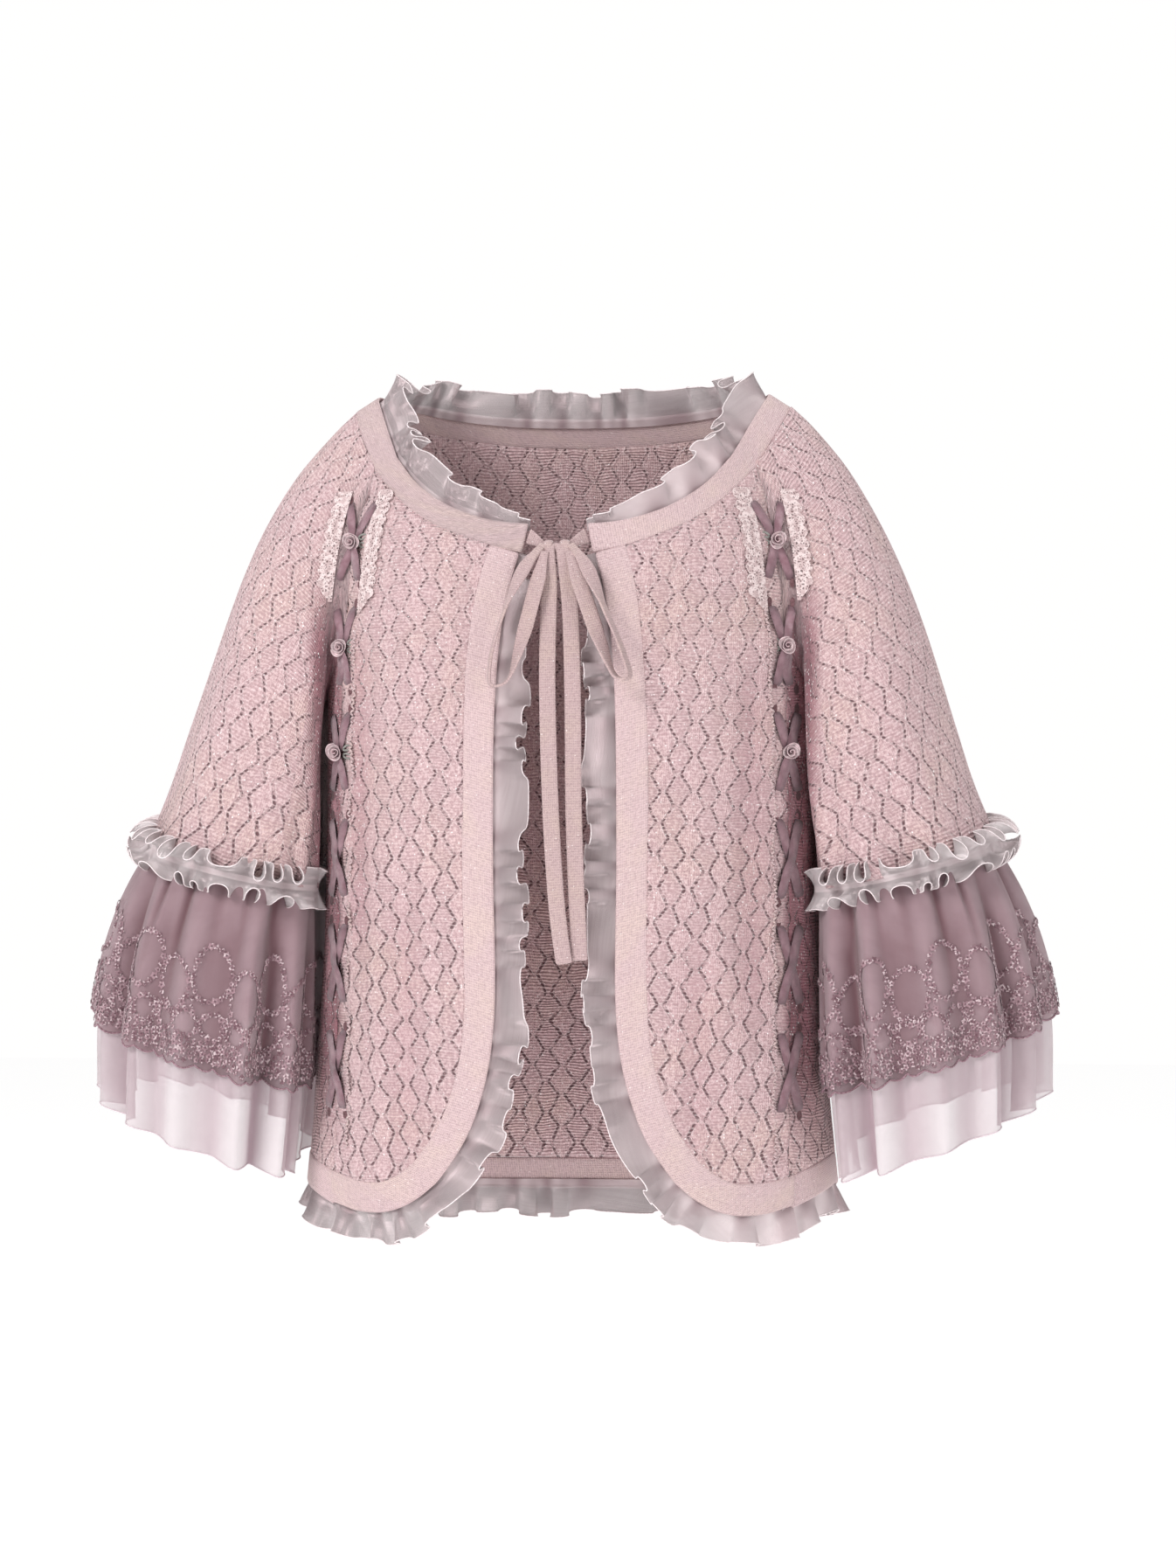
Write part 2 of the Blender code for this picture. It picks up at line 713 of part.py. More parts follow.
def lacing_strip(surface, side, sign, lift):
    # One ribbon of the lacing, as a zigzag over the laced seam
    bottom = FIRST_CROSSING - LACING_PITCH * (CROSSINGS - 0.5)
    count = round((LACING_TOP - bottom) / RIBBON_STEP) + 1
    heights = list(np.linspace(LACING_TOP, bottom, count))
    heights += [z - RIBBON_STEP / 2 for z in heights if abs(z - FORK_HEIGHT) < 1.6 * RIBBON_STEP]
    grid = np.zeros((len(heights), 2, 3))
    for r, z in enumerate(sorted(heights, reverse=True)):
        phase = math.pi * (FIRST_CROSSING - z) / LACING_PITCH
        room = 1.0 - math.exp(-(((z - FORK_HEIGHT) / FORK_SPAN) ** 2))
        centre = seam_x(z) + min(-sign * LACING_HALF * math.sin(phase), LACING_HALF * room)
        slope = -sign * LACING_HALF * math.pi / LACING_PITCH * math.cos(phase)
        height = RIBBON_LIFT + lift * math.cos(phase) ** 2
        for c, way in enumerate((-0.5, 0.5)):
            x = side * (centre + way * RIBBON_WIDTH)
            grid[r, c] = laid(surface, x, z + way * RIBBON_WIDTH * slope, height)
    return facing(grid, side)


def edging(surface, side, near, far, top, bottom, step):
    # Scalloped lace along the laced seam, between two distances from it
    count = int((top - bottom) / step) + 1
    grid = np.zeros((count, 3, 3))
    for r, z in enumerate(np.linspace(top, bottom, count)):
        edge = far - SCALLOP_DEPTH * (r % 2) * (1 if far > near else -1)
        for c, distance in enumerate(sorted((near, (near + edge) / 2, edge))):
            grid[r, c] = laid(surface, side * (seam_x(z) + distance), z, LACE_LIFT)
    return facing(grid, side)


def strip_along(route, across, count, gathered):
    # A flat tie along a route; across is the direction of its width, which narrows into the knot
    line = through(route, count)
    grid = np.zeros((count, 2, 3))
    for r in range(count):
        away = min(np.linalg.norm(line[r] - line[end]) for end in gathered) if gathered else GATHER_LENGTH
        width = TIE_WIDTH * (KNOT_GATHER + (1.0 - KNOT_GATHER) * smooth(away / GATHER_LENGTH))
        tangent = unit(line[min(r + 1, count - 1)] - line[max(r - 1, 0)])
        side = np.asarray(across, float)
        side = unit(side - tangent * np.dot(side, tangent))
        grid[r, 0] = line[r] - side * width / 2
        grid[r, 1] = line[r] + side * width / 2
    return grid


def around(half):
    # A line round the neck from its right half, which starts at the opening and ends at the centre back
    return np.concatenate([half, (half * np.array([-1.0, 1.0, 1.0]))[::-1][1:]])


def neck_edge(counts):
    # The neckband's free edge, with as many steps as its seam has along the front, shoulder and back
    front = [on_body(x, z) for x, z in NECK_FRONT_EDGE]
    back = [on_body(x, z, 1) for x, z in NECK_BACK_EDGE]
    line = through(front + [np.array(row, float) for row in SHOULDER_EDGE] + back, 600)
    turns = [0, *(int(np.argmin(np.linalg.norm(line - end, axis=1))) for end in (front[-1], back[0])), 599]
    stretches = [even(line[a:b + 1], n + 1)[:-1] for a, b, n in zip(turns, turns[1:], counts)]
    return np.concatenate([*stretches, line[-1:]])


def hem_edge(point):
    x, y, z = point
    half, front, back = body_size(z - BAND_WIDTH)
    before = body_size(z)
    depth = 1 if y < 0 else 2
    sizes = (half, front, back)
    return np.array([x * half / before[0], y * sizes[depth] / before[depth], z - BAND_WIDTH])


def add_rose(name, centre, normal, under):
    # A small ribbon rose, a domed bud with a rolled rim, let down onto the ribbon under it
    sides = 9
    profile = ((0.55, 0.0), (1.0, 0.35), (0.86, 0.8), (0.45, 1.0))
    normal = unit(normal)
    right = unit(np.cross(normal, np.array([0.0, 0.0, 1.0])))
    up = np.cross(right, normal)
    points = []
    for radius, height in profile:
        for k in range(sides):
            turn = 2 * math.pi * k / sides
            ring = (right * math.cos(turn) + up * math.sin(turn)) * radius * ROSE_RADIUS
            points.append(centre + ring + normal * height * ROSE_HEIGHT)
    heights = [under.ray_cast(Vector(point), Vector(-normal))[3] for point in points]
    drop = min(height for height in heights if height is not None) - TRIM / 2 - 1.5 * SEAM_GAP
    points = [point - normal * drop for point in points]
    faces = []
    for r in range(len(profile) - 1):
        for k in range(sides):
            n = (k + 1) % sides
            faces.append((r * sides + k, (r + 1) * sides + k, (r + 1) * sides + n, r * sides + n))
    faces.append(tuple(range(sides)))
    faces.append(tuple(range((len(profile) - 1) * sides, len(profile) * sides))[::-1])
    return add_mesh(name, points, faces, "rose")


def add_knot():
    bpy.ops.mesh.primitive_uv_sphere_add(segments=10, ring_count=6, radius=1.0)
    knot = bpy.context.object
    knot.name = "bow_knot"
    knot.data.name = "bow_knot"
    knot.data.materials.append(cloth("band"))
    knot.scale = [half * MM for half in KNOT_HALF]
    knot.location = [place * MM for place in KNOT_CENTRE]
    for collection in list(knot.users_collection):
        collection.objects.unlink(knot)
    parts.objects.link(knot)
    return knot


def build():
    for thing in list(bpy.data.objects):
        bpy.data.objects.remove(thing, do_unlink=True)
    bpy.context.scene.collection.children.link(parts)
    gap = SEAM_GAP / 2
    sides = (("left", -1), ("right", 1))

    # Panels
    flat = front_panel()
    lower, yoke = back_half()
    fronts = {side: draped(flat, side) for _, side in sides}
    for name, side in sides:
        edged = inset(fronts[side], gap, gap, gap, gap)
        add_sheet(f"front_{name}", facing(edged, side), KNIT, "knit")
    lower_edged = inset(whole(lower), 0.0, gap, 4 * gap, 4 * gap)
    wide = 2 * SIDE_COLUMNS + 2 * BACK_COLUMNS + 1
    side_part = list(range(0, SIDE_COLUMNS)) + list(range(wide - SIDE_COLUMNS, wide))
    drop = inset(lower_edged, ARMHOLE_INSET)[0]
    lower_edged[0, side_part] = drop[side_part]
    yoke_edged = inset(whole(yoke), 3 * gap, 0.0, 2 * gap, 2 * gap)
    yoke_edged[-1] = lower_edged[0, SIDE_COLUMNS:wide - SIDE_COLUMNS]
    add_sheet("back", lower_edged, KNIT, "knit", more=[yoke_edged])

    # Sleeves
    neck_front = fronts[1][0, -1]
    neck_back = yoke[0, 0]
    arm = sleeve(fronts[1], lower, yoke, neck_front, neck_back)
    arm_edged = inset(arm, ARMHOLE_INSET, gap, closed=True)
    for name, side in sides:
        grid = arm_edged if side > 0 else mirrored(arm_edged)
        add_sheet(f"sleeve_{name}", grid, KNIT, "knit", closed=True)

    # Neckband, in one piece round the neck
    half_seam = [on_body(x, z) for x, z in through(NECK_FRONT[:2], 3)[:-1]]
    half_seam += [fronts[1][0, c] for c in range(FRONT_COLUMNS)]
    over = shoulder_line(neck_front, neck_back, SHOULDER, SHOULDER_COLUMNS + 1)
    half_seam += list(over[:-1]) + list(yoke[0])
    half_edge = neck_edge((2 + FRONT_COLUMNS, SHOULDER_COLUMNS, BACK_COLUMNS))
    seam = around(np.array(half_seam))
    edge = around(half_edge)
    band = np.stack([edge, seam])
    add_sheet("neckband", inset(band, 0.0, 2 * gap), KNIT, "band")

    # Frill inside the neckband
    rise = np.array([0.0, 0.0, 1.0])
    middle = edge.mean(axis=0)
    lying = smooth((np.abs(edge[:, 0]) - 95.0) / 35.0)[:, None]
    upright = NECK_RISE[0] + (NECK_RISE[1] - NECK_RISE[0]) * lying
    out = np.array([unit(unit(a - b) + lift * rise) for a, b, lift in zip(edge, seam, upright)])
    inner = np.array([unit((middle - a) * np.array([1.0, 1.0, 0.0]) - 0.4 * rise) for a in edge])
    inner = inner - out * np.sum(inner * out, axis=1, keepdims=True)
    reach = smooth(0.25 + (np.abs(edge[:, 0]) + np.maximum(edge[:, 1], 0.0) * 9 - 20.0) / 90.0)
    add_sheet("frill_neck", frill(edge, out, inner, NECK_WAVES, reach), CHIFFON, "chiffon")

    # Front bands with their frills
    line = np.concatenate([flat[:, 0], flat[-1, 1:]])
    for name, side in sides:
        seam = np.concatenate([fronts[side][:, 0], fronts[side][-1, 1:]])
        edge = band_edge(line, side)
        band = np.stack([edge, seam], axis=1)
        edged = inset(band, gap, 2 * gap, 0.0, 1.6 * gap)
        add_sheet(f"front_band_{name}", facing(edged, side), KNIT, "band")
        out = np.array([unit(a - b) for a, b in zip(edge, seam)])
        inner = np.array([-body_normal(point) for point in edge])
        reach = np.clip((np.abs(edge[:, 0]) - 19.0) / FRILL_REACH, 0.15, 1.0)
        grid = frill(edge, out, inner, FRONT_WAVES, reach)
        add_sheet(f"frill_front_{name}", facing(np.swapaxes(grid, 0, 1), side), CHIFFON, "chiffon")

    # Band and frill round the back of the hem
    seam = whole(lower)[-1]
    edge = np.array([hem_edge(point) for point in seam])
    band = inset(np.stack([seam, edge]), gap, 0.0, 2 * gap, 2 * gap)
    add_sheet("hem_band", band, KNIT, "band")
    out = np.array([unit(a - b) for a, b in zip(edge, seam)])
    inner = np.array([-body_normal(point) for point in edge])
    edge[0] += (edge[1] - edge[0]) * 0.12
    edge[-1] += (edge[-2] - edge[-1]) * 0.12
    grid = frill(edge, out, inner, HEM_WAVES, np.ones(len(edge)))
    add_sheet("frill_hem", grid[::-1], CHIFFON, "chiffon")

    # Sleeve ruffles and flounces
    ruffle = ruffle_grid()
    upper = flounce_grid(UPPER_ROWS, (0.0, 0.0), SCALLOP_DEPTH)
    under = flounce_grid(LOWER_ROWS, LINER_INSET, 0.0)
    for name, side in sides:
        for part, grid, stuff in (
            ("ruffle", ruffle, "chiffon"),
            ("flounce_upper", upper, "mauve"),
            ("flounce_lower", under, "pale"),
        ):
            shown = grid if side > 0 else mirrored(grid)
            add_sheet(f"{part}_{name}", shown, CHIFFON, stuff, closed=True)

    # Lacing, lace edging and roses
    for name, side in sides:
        mirror = np.array([side, 1.0, 1.0])
        surface = cloth_under([(fronts[side], False), (whole(lower), False), (arm * mirror, True)])
        over = lacing_strip(surface, side, 1, CROSSING_LIFT)
        add_sheet(f"ribbon_over_{name}", over, TRIM, "ribbon")
        crossing = cloth_under([(over, False)])
        add_sheet(f"ribbon_under_{name}", lacing_strip(surface, side, -1, 0.0), TRIM, "ribbon")
        add_sheet(f"lace_front_{name}", edging(surface, side, *LACE_FRONT), TRIM, "lace")
        add_sheet(f"lace_sleeve_{name}", edging(surface, side, *LACE_SLEEVE), TRIM, "lace")
        for k in range(ROSES):
            z = FIRST_CROSSING - k * LACING_PITCH
            base = laid(surface, side * seam_x(z), z, ROSE_LIFT)
            add_rose(f"rose_{name}_{k + 1}", base, np.array([side * ROSE_TURN, -1.0, 0.0]), crossing)

    # Bow
    add_knot()
    for name, route in (("left", LEFT_LOOP), ("right", RIGHT_LOOP)):
        add_sheet(f"bow_loop_{name}", strip_along(route, (0.55, 0.6, 0.3), 16, (0, -1)), TIE, "band")
    for name, route in (("left", LEFT_TAIL), ("right", RIGHT_TAIL)):
        add_sheet(f"tie_tail_{name}", strip_along(route, (1, 0, 0), 14, (0,)), TIE, "band")
    for name, side in sides:
        start = on_body(side * TIE_START[0], TIE_START[1])
        end = np.array([side * TIE_END[0], TIE_END[1], TIE_END[2]])
        route = (start, (start + end) / 2 + np.array([0.0, -1.0, 0.5]), end)
        add_sheet(f"tie_{name}", strip_along(route, (0, 0, 1), 4, (-1,)), TIE, "band")


build()
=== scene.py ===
import math
import bpy
import bmesh
import numpy as np
from mathutils import Matrix, Vector
from mathutils.bvhtree import BVHTree


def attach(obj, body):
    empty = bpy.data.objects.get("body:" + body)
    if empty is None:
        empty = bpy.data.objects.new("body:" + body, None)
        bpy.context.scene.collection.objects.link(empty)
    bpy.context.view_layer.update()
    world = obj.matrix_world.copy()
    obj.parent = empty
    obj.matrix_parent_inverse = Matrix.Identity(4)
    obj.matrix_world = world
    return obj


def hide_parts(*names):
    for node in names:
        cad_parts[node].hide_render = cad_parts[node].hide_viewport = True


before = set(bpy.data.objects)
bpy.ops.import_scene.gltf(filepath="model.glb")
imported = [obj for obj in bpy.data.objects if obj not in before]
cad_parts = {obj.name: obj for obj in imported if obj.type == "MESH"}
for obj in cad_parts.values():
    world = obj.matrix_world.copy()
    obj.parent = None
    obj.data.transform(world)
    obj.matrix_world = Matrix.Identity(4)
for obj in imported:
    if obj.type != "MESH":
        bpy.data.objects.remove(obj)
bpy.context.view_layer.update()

# Knit cape cardigan: X across, -Y is the front, Z up. Shapes are worked out in millimetres.
mm = 0.001
print("frame loaded")


# curves and grids

def smooth(t):
    t = np.clip(t, 0.0, 1.0)
    return t * t * (3.0 - 2.0 * t)


def unit(vector):
    return vector / np.maximum(np.linalg.norm(vector, axis=-1, keepdims=True), 1e-9)


def tableValue(at, knots, values):
    knots, values = np.asarray(knots, float), np.asarray(values, float)
    at = np.clip(at, knots[0], knots[-1])
    slopes = np.gradient(values, knots)
    i = np.clip(np.searchsorted(knots, at, side="right") - 1, 0, len(knots) - 2)
    span = knots[i + 1] - knots[i]
    t = (at - knots[i]) / span
    return ((2 * t**3 - 3 * t**2 + 1) * values[i] + (t**3 - 2 * t**2 + t) * span * slopes[i]
            + (3 * t**2 - 2 * t**3) * values[i + 1] + (t**3 - t**2) * span * slopes[i + 1])


def lengths(line):
    return np.concatenate([[0.0], np.cumsum(np.linalg.norm(np.diff(line, axis=0), axis=1))])


def even(points, count):
    points = np.asarray(points, float)
    length = lengths(points)
    at = np.linspace(0.0, length[-1], count)
    return np.stack([np.interp(at, length, points[:, k]) for k in range(points.shape[1])], axis=1)


def through(rows, count):  # a smooth curve through the rows, equally spaced
    rows = np.asarray(rows, float)
    knots = np.concatenate([[0.0], np.cumsum(np.sqrt(np.linalg.norm(np.diff(rows, axis=0), axis=1)))])
    at = np.linspace(0.0, knots[-1], 24 * len(rows))
    return even(np.stack([tableValue(at, knots, rows[:, k]) for k in range(rows.shape[1])], axis=1), count)


def along(line, share):
    length = lengths(line)
    return np.array([np.interp(share * length[-1], length, line[:, k]) for k in range(line.shape[1])])


def finer(grid, steps, axis, closed=False):  # a smooth surface through a coarse grid
    g = np.moveaxis(np.asarray(grid, float), axis, 0)
    n = len(g)
    t = np.arange((n if closed else n - 1) * steps + 1) / steps
    i = np.minimum(np.floor(t).astype(int), n - 1 if closed else n - 2)
    f = (t - i).reshape((-1,) + (1,) * (g.ndim - 1))
    if closed:
        a, b, c, d = (g[(i + k) % n] for k in (-1, 0, 1, 2))
    else:
        padded = np.concatenate([[2 * g[0] - g[1]], g, [2 * g[-1] - g[-2]]])
        a, b, c, d = (padded[i + k] for k in (0, 1, 2, 3))
    fine = b + 0.5 * f * (c - a + f * (2 * a - 5 * b + 4 * c - d + f * (3 * (b - c) + d - a)))
    return np.moveaxis(fine, 0, axis)


def finerBothWays(grid, down, across, closed=False):
    return finer(finer(grid, down, 0), across, 1, closed)


def normalsOf(grid, closed=False):
    down = np.gradient(grid, axis=0)
    if closed:
        ring = grid[:, :-1]
        across = (np.roll(ring, -1, axis=1) - np.roll(ring, 1, axis=1)) / 2
        across = np.concatenate([across, across[:, :1]], axis=1)
    else:
        across = np.gradient(grid, axis=1)
    return unit(np.cross(down, across))


def acrossAndDown(grid, middle=0):  # cloth coordinates in metres, from the lengths on the surface
    steps = np.linalg.norm(np.diff(grid, axis=1), axis=2)
    u = np.concatenate([np.zeros((len(grid), 1)), np.cumsum(steps, axis=1)], axis=1)
    u = u - u[:, middle:middle + 1]
    steps = np.linalg.norm(np.diff(grid, axis=0), axis=2)
    v = np.concatenate([np.zeros((1, grid.shape[1])), np.cumsum(steps, axis=0)], axis=0)
    v = v.mean(axis=1, keepdims=True).max() - np.broadcast_to(v.mean(axis=1, keepdims=True), v.shape)
    return np.stack([u, v], axis=2) * mm


# the body that the cut is made for

bothSides = (("left", -1), ("right", 1))
body = {
    "power": 2.5,
    # height, half width, depth in front and depth behind
    "table": ((-640, 194.0, 118.0, 112.0), (-580, 189.0, 118.0, 109.0), (-500, 181.5, 119.5, 104.0),
              (-400, 175.0, 122.0, 99.5), (-300, 172.5, 124.5, 101.0), (-230, 171.5, 124.0, 105.0),
              (-160, 168.5, 115.0, 106.5), (-110, 164.5, 103.0, 104.0), (-78, 158.5, 91.5, 99.0),
              (-55, 153.5, 82.5, 94.0), (-28, 149.5, 73.0, 86.0), (0, 147.0, 63.0, 74.0)),
    # side, distance from the centre line, top, bottom, width and depth of each long fold
    "folds": ((-1, 139, -150, -420, 9.0, 6.0), (-1, 104, -330, -560, 13.0, 3.0),
              (1, 132, -170, -470, 11.0, 4.0), (1, 96, -360, -560, 14.0, 3.0)),
    "foldFade": 60.0,
    "plans": ((-1, 0.7), (1, 0.6)),  # depth over half width, in front and behind
}


def bodySize(z):
    columns = np.array(body["table"], float).T
    return tuple(tableValue(z, columns[0], column) for column in columns[1:])


def foldDepth(x, z):
    depth = 0.0
    for side, centre, top, bottom, width, deep in body["folds"]:
        fade = smooth((top - z) / body["foldFade"]) * smooth((z - bottom) / body["foldFade"])
        depth = depth + deep * fade * np.exp(-(((side * x - centre) / width) ** 2))
    return depth


def onBody(x, z, face=-1):
    half, front, back = bodySize(z)
    power = body["power"]
    reach = np.maximum(1.0 - np.minimum(np.abs(x) / half, 1.0) ** power, 0.0) ** (1.0 / power)
    y = face * (front if face < 0 else back) * reach
    if face < 0:
        y = y + foldDepth(x, z)
    return np.stack(np.broadcast_arrays(x, y, np.asarray(z, float)), axis=-1)


def bodyNormal(point):
    point = np.asarray(point, float)
    x, y, z = point[..., 0], point[..., 1], point[..., 2]
    half, front, back = bodySize(z)
    depth = np.where(y < 0, front, back)
    n = body["power"] - 1.0
    nx = np.sign(x) * (np.abs(x) / half) ** n / half
    ny = np.sign(y) * np.minimum(np.abs(y) / depth, 1.0) ** n / depth
    return unit(np.stack([nx, ny, np.zeros_like(nx)], axis=-1))


def seamX(z):
    rows = np.array(panels["lacedSeam"], float)
    return tableValue(z, rows[:, 0], rows[:, 1])


def raglanX(z):
    rows = np.array(panels["backRaglan"], float)
    return float(tableValue(z, rows[:, 0], rows[:, 1]))


def planArc(z):
    half, front, back = bodySize(z)
    power = body["power"]
    start = math.asin(min(float(seamX(z)) / half, 1.0) ** (power / 2.0))
    angles = np.linspace(start, math.pi, 160)
    sines, cosines = np.abs(np.sin(angles)) ** (2.0 / power), np.abs(np.cos(angles)) ** (2.0 / power)
    y = np.where(angles < math.pi / 2, -front * cosines, back * cosines)
    return np.stack([half * sines, y, np.full(len(angles), float(z))], axis=1)


def arcShare(z, x):
    line = planArc(z)
    length = lengths(line)
    behind = line[:, 1] > 0
    return float(np.interp(-x, -line[behind, 0], length[behind]) / length[-1])


quarter = {}
for face, ratio in body["plans"]:  # length of the plan from the centre line out, for a half width of 1
    turns = np.linspace(0.0, math.pi / 2, 400)
    power = 2 / body["power"]
    plan = np.stack([np.sin(turns) ** power, ratio * np.cos(turns) ** power], axis=1)
    quarter[face] = (plan[:, 0], lengths(plan))


def bodyCloth(grid, side=1):  # cloth coordinates with level rows, as a knit panel hangs
    x, y, z = grid[..., 0], grid[..., 1], grid[..., 2]
    half = bodySize(z)[0]
    frontArc = np.interp(np.abs(x) / half, *quarter[-1]) * half
    backArc = np.interp(np.abs(x) / half, *quarter[1]) * half
    sideArc = (quarter[-1][1][-1] + quarter[1][1][-1]) * half - frontArc
    u = np.sign(x) * np.where(y < 0, sideArc if side == 0 else frontArc, backArc)
    return np.stack([u, z], axis=2) * mm


# the cut

panels = {
    "neckFront": ((24, -117.5), (46, -113), (66, -106), (90, -95.5), (114, -78), (133, -57)),
    "neckFrontEdge": ((20, -98), (40, -96.5), (60, -91.5), (80, -83), (101, -68), (117, -49)),
    "shoulder": ((148, -25, -28), (154, 3, -12), (147, 32, -13)),
    "shoulderEdge": ((132, -22, -17), (138.5, 4, -2), (133, 27, -2)),
    "neckBack": ((126, -18), (100, -24), (52, -30), (0, -32)),
    "neckBackEdge": ((114, -4), (90, -8), (46, -12), (0, -13)),
    "frontEdge": ((46, -113), (54, -143), (59, -178), (62, -222), (63, -330), (62, -420), (64.5, -456),
                  (71, -486), (81, -511.5), (95, -532.5), (109, -545), (123, -551), (139, -551), (157, -547)),
    "cornerKnot": 9,
    "lacedSeam": ((-560, 157), (-420, 157), (-300, 156), (-180, 153), (-140, 150), (-105, 145.5),
                  (-80, 140), (-57, 133)),
    "backRaglan": ((-170, 150), (-110, 144.5), (-60, 137), (-18, 126)),
    "seamTop": -57.0, "seamBottom": -547.0, "raglanFoot": -170.0, "armholeDip": 44.0,
    "frontRows": 16, "frontColumns": 8, "forkRow": 4, "sideColumns": 6, "backColumns": 6,
    "yokeRows": 5, "shoulderColumns": 12, "knit": 1.6, "band": 21.0, "bandThick": 2.2, "overlap": 5.0,
    "hemRise": 12.0, "hemDrop": 4.0, "riseEnd": 0.42, "dropOver": 0.4,
    "fineness": 7, "sleeveFineness": (6, 5), "sleeveMiddle": 105,
}


def frontPatch():
    rows, columns = panels["frontRows"], panels["frontColumns"]
    corner = panels["frontEdge"][panels["cornerKnot"]]
    line = through(panels["frontEdge"], 400)
    turn = int(np.argmin(np.linalg.norm(line - np.array(corner), axis=1)))
    top = through(panels["neckFront"][1:], columns + 1)
    left, bottom = even(line[:turn + 1], rows + 1), even(line[turn:], columns + 1)
    heights = np.linspace(panels["seamTop"], panels["seamBottom"], rows + 1)
    right = np.stack([seamX(heights), heights], axis=1)
    top[0], top[-1], bottom[-1] = left[0], right[0], right[-1]
    v = np.linspace(0, 1, rows + 1)[:, None, None]
    u = np.linspace(0, 1, columns + 1)[None, :, None]
    sides = (1 - v) * top[None] + v * bottom[None] + (1 - u) * left[:, None] + u * right[:, None]
    upper = (1 - u) * top[0] + u * top[-1]
    lower = (1 - u) * bottom[0] + u * bottom[-1]
    return sides - (1 - v) * upper - v * lower


def hemHeight(share):
    raised = panels["hemRise"] * math.sin(math.pi * min(share / panels["riseEnd"], 1.0))
    dropped = panels["hemDrop"] * smooth((share - panels["riseEnd"]) / panels["dropOver"])
    return panels["seamBottom"] + raised - dropped


def backHalf():
    foot = panels["raglanFoot"]
    footShare = arcShare(foot, raglanX(foot))
    shares = list(np.linspace(0.0, footShare, panels["sideColumns"] + 1))
    shares += list(np.linspace(footShare, 1.0, panels["backColumns"] + 1))[1:]
    seamTop, seamBottom = panels["seamTop"], panels["seamBottom"]
    fork = seamTop + (seamBottom - seamTop) * panels["forkRow"] / panels["frontRows"]
    rows = panels["frontRows"] - panels["forkRow"]
    lower = np.zeros((rows + 1, len(shares), 3))
    for c, share in enumerate(shares):
        across = share / footShare
        top = foot
        if across < 1:
            top = fork + (foot - fork) * across - panels["armholeDip"] * math.sin(math.pi * across)
        for r in range(rows + 1):
            z = top + (hemHeight(share) - top) * r / rows
            lower[r, c] = along(planArc(z), share)
    rows, columns = panels["yokeRows"], panels["backColumns"]
    yoke = np.zeros((rows + 1, columns + 1, 3))
    neck = through(panels["neckBack"], columns + 1)
    for c in range(columns + 1):
        for r in range(rows + 1):
            z = neck[c, 1] + (foot - neck[c, 1]) * r / rows
            edge = arcShare(z, raglanX(neck[0, 1] + (foot - neck[0, 1]) * r / rows))
            yoke[r, c] = along(planArc(z), edge + (1.0 - edge) * c / columns)
    yoke[-1] = lower[0, panels["sideColumns"]:]
    return lower, yoke


def flipped(points, side=-1):
    return points * np.array([float(side), 1.0, 1.0])


def mirrored(grid):
    return flipped(grid)[:, ::-1]


def whole(half):
    return np.concatenate([half, mirrored(half)[:, 1:]], axis=1)


arm = {
    "centre": (232.0, -4.0, -331.0), "half": (67.0, 88.0), "slope": 0.231, "tilt": 0.097, "power": 2.3,
    "axis": (-0.30, 0.0, 0.954), "clearance": 9.0, "softness": 4.0, "rows": 9, "seamRow": 0.06,
    "passes": 3, "evenAcross": 0.35, "evenDown": 0.15, "freeFrom": 0.3, "heldFlat": (20.0, 50.0),
    # place in the armhole, angle at the sleeve's end, direction off the shoulder (x, y, z) and fullness
    "lines": ((0, 118, 38, 2, -34, 120), (4, 150, 18, -4, 4, 60), (7, 180, 18, 0, 9, 40),
              (10, 212, 18, 4, 4, 60), (15, 246, 38, -2, -28, 130), (21, 360, 55, 0, -30, 238),
              (27, 478, 38, 2, -34, 120)),
}


def clearOfBody(point, clearance, reach=1.0):
    x, y, z = point
    half, front, back = bodySize(z)
    power = body["power"]
    inside = max(1.0 - min(abs(y) / (front if y < 0 else back), 1.0) ** power, 0.0) ** (1.0 / power)
    wall = half * inside + clearance
    moved = wall + arm["softness"] * float(np.logaddexp(0.0, (x - wall) / arm["softness"]))
    return np.array([x + (moved - x) * reach, y, z])


def oval(angle, centreX, halfX, halfY, slope, drop, inward=0.0):
    cosine, sine = math.cos(math.radians(angle)), math.sin(math.radians(angle))
    power = 2.0 / arm["power"]
    x = centreX + (halfX - inward) * math.copysign(abs(cosine) ** power, cosine)
    y = arm["centre"][1] - (halfY - inward) * math.copysign(abs(sine) ** power, sine)
    z = arm["centre"][2] - drop + (x - arm["centre"][0]) * slope + (y - arm["centre"][1]) * arm["tilt"]
    return np.array([x, y, z])


def freeShare(angle, least):  # how freely the cloth folds: least beside the body and 1 away from it
    return least + (1.0 - least) * smooth((abs(angle - 180.0) - arm["heldFlat"][0]) / arm["heldFlat"][1])


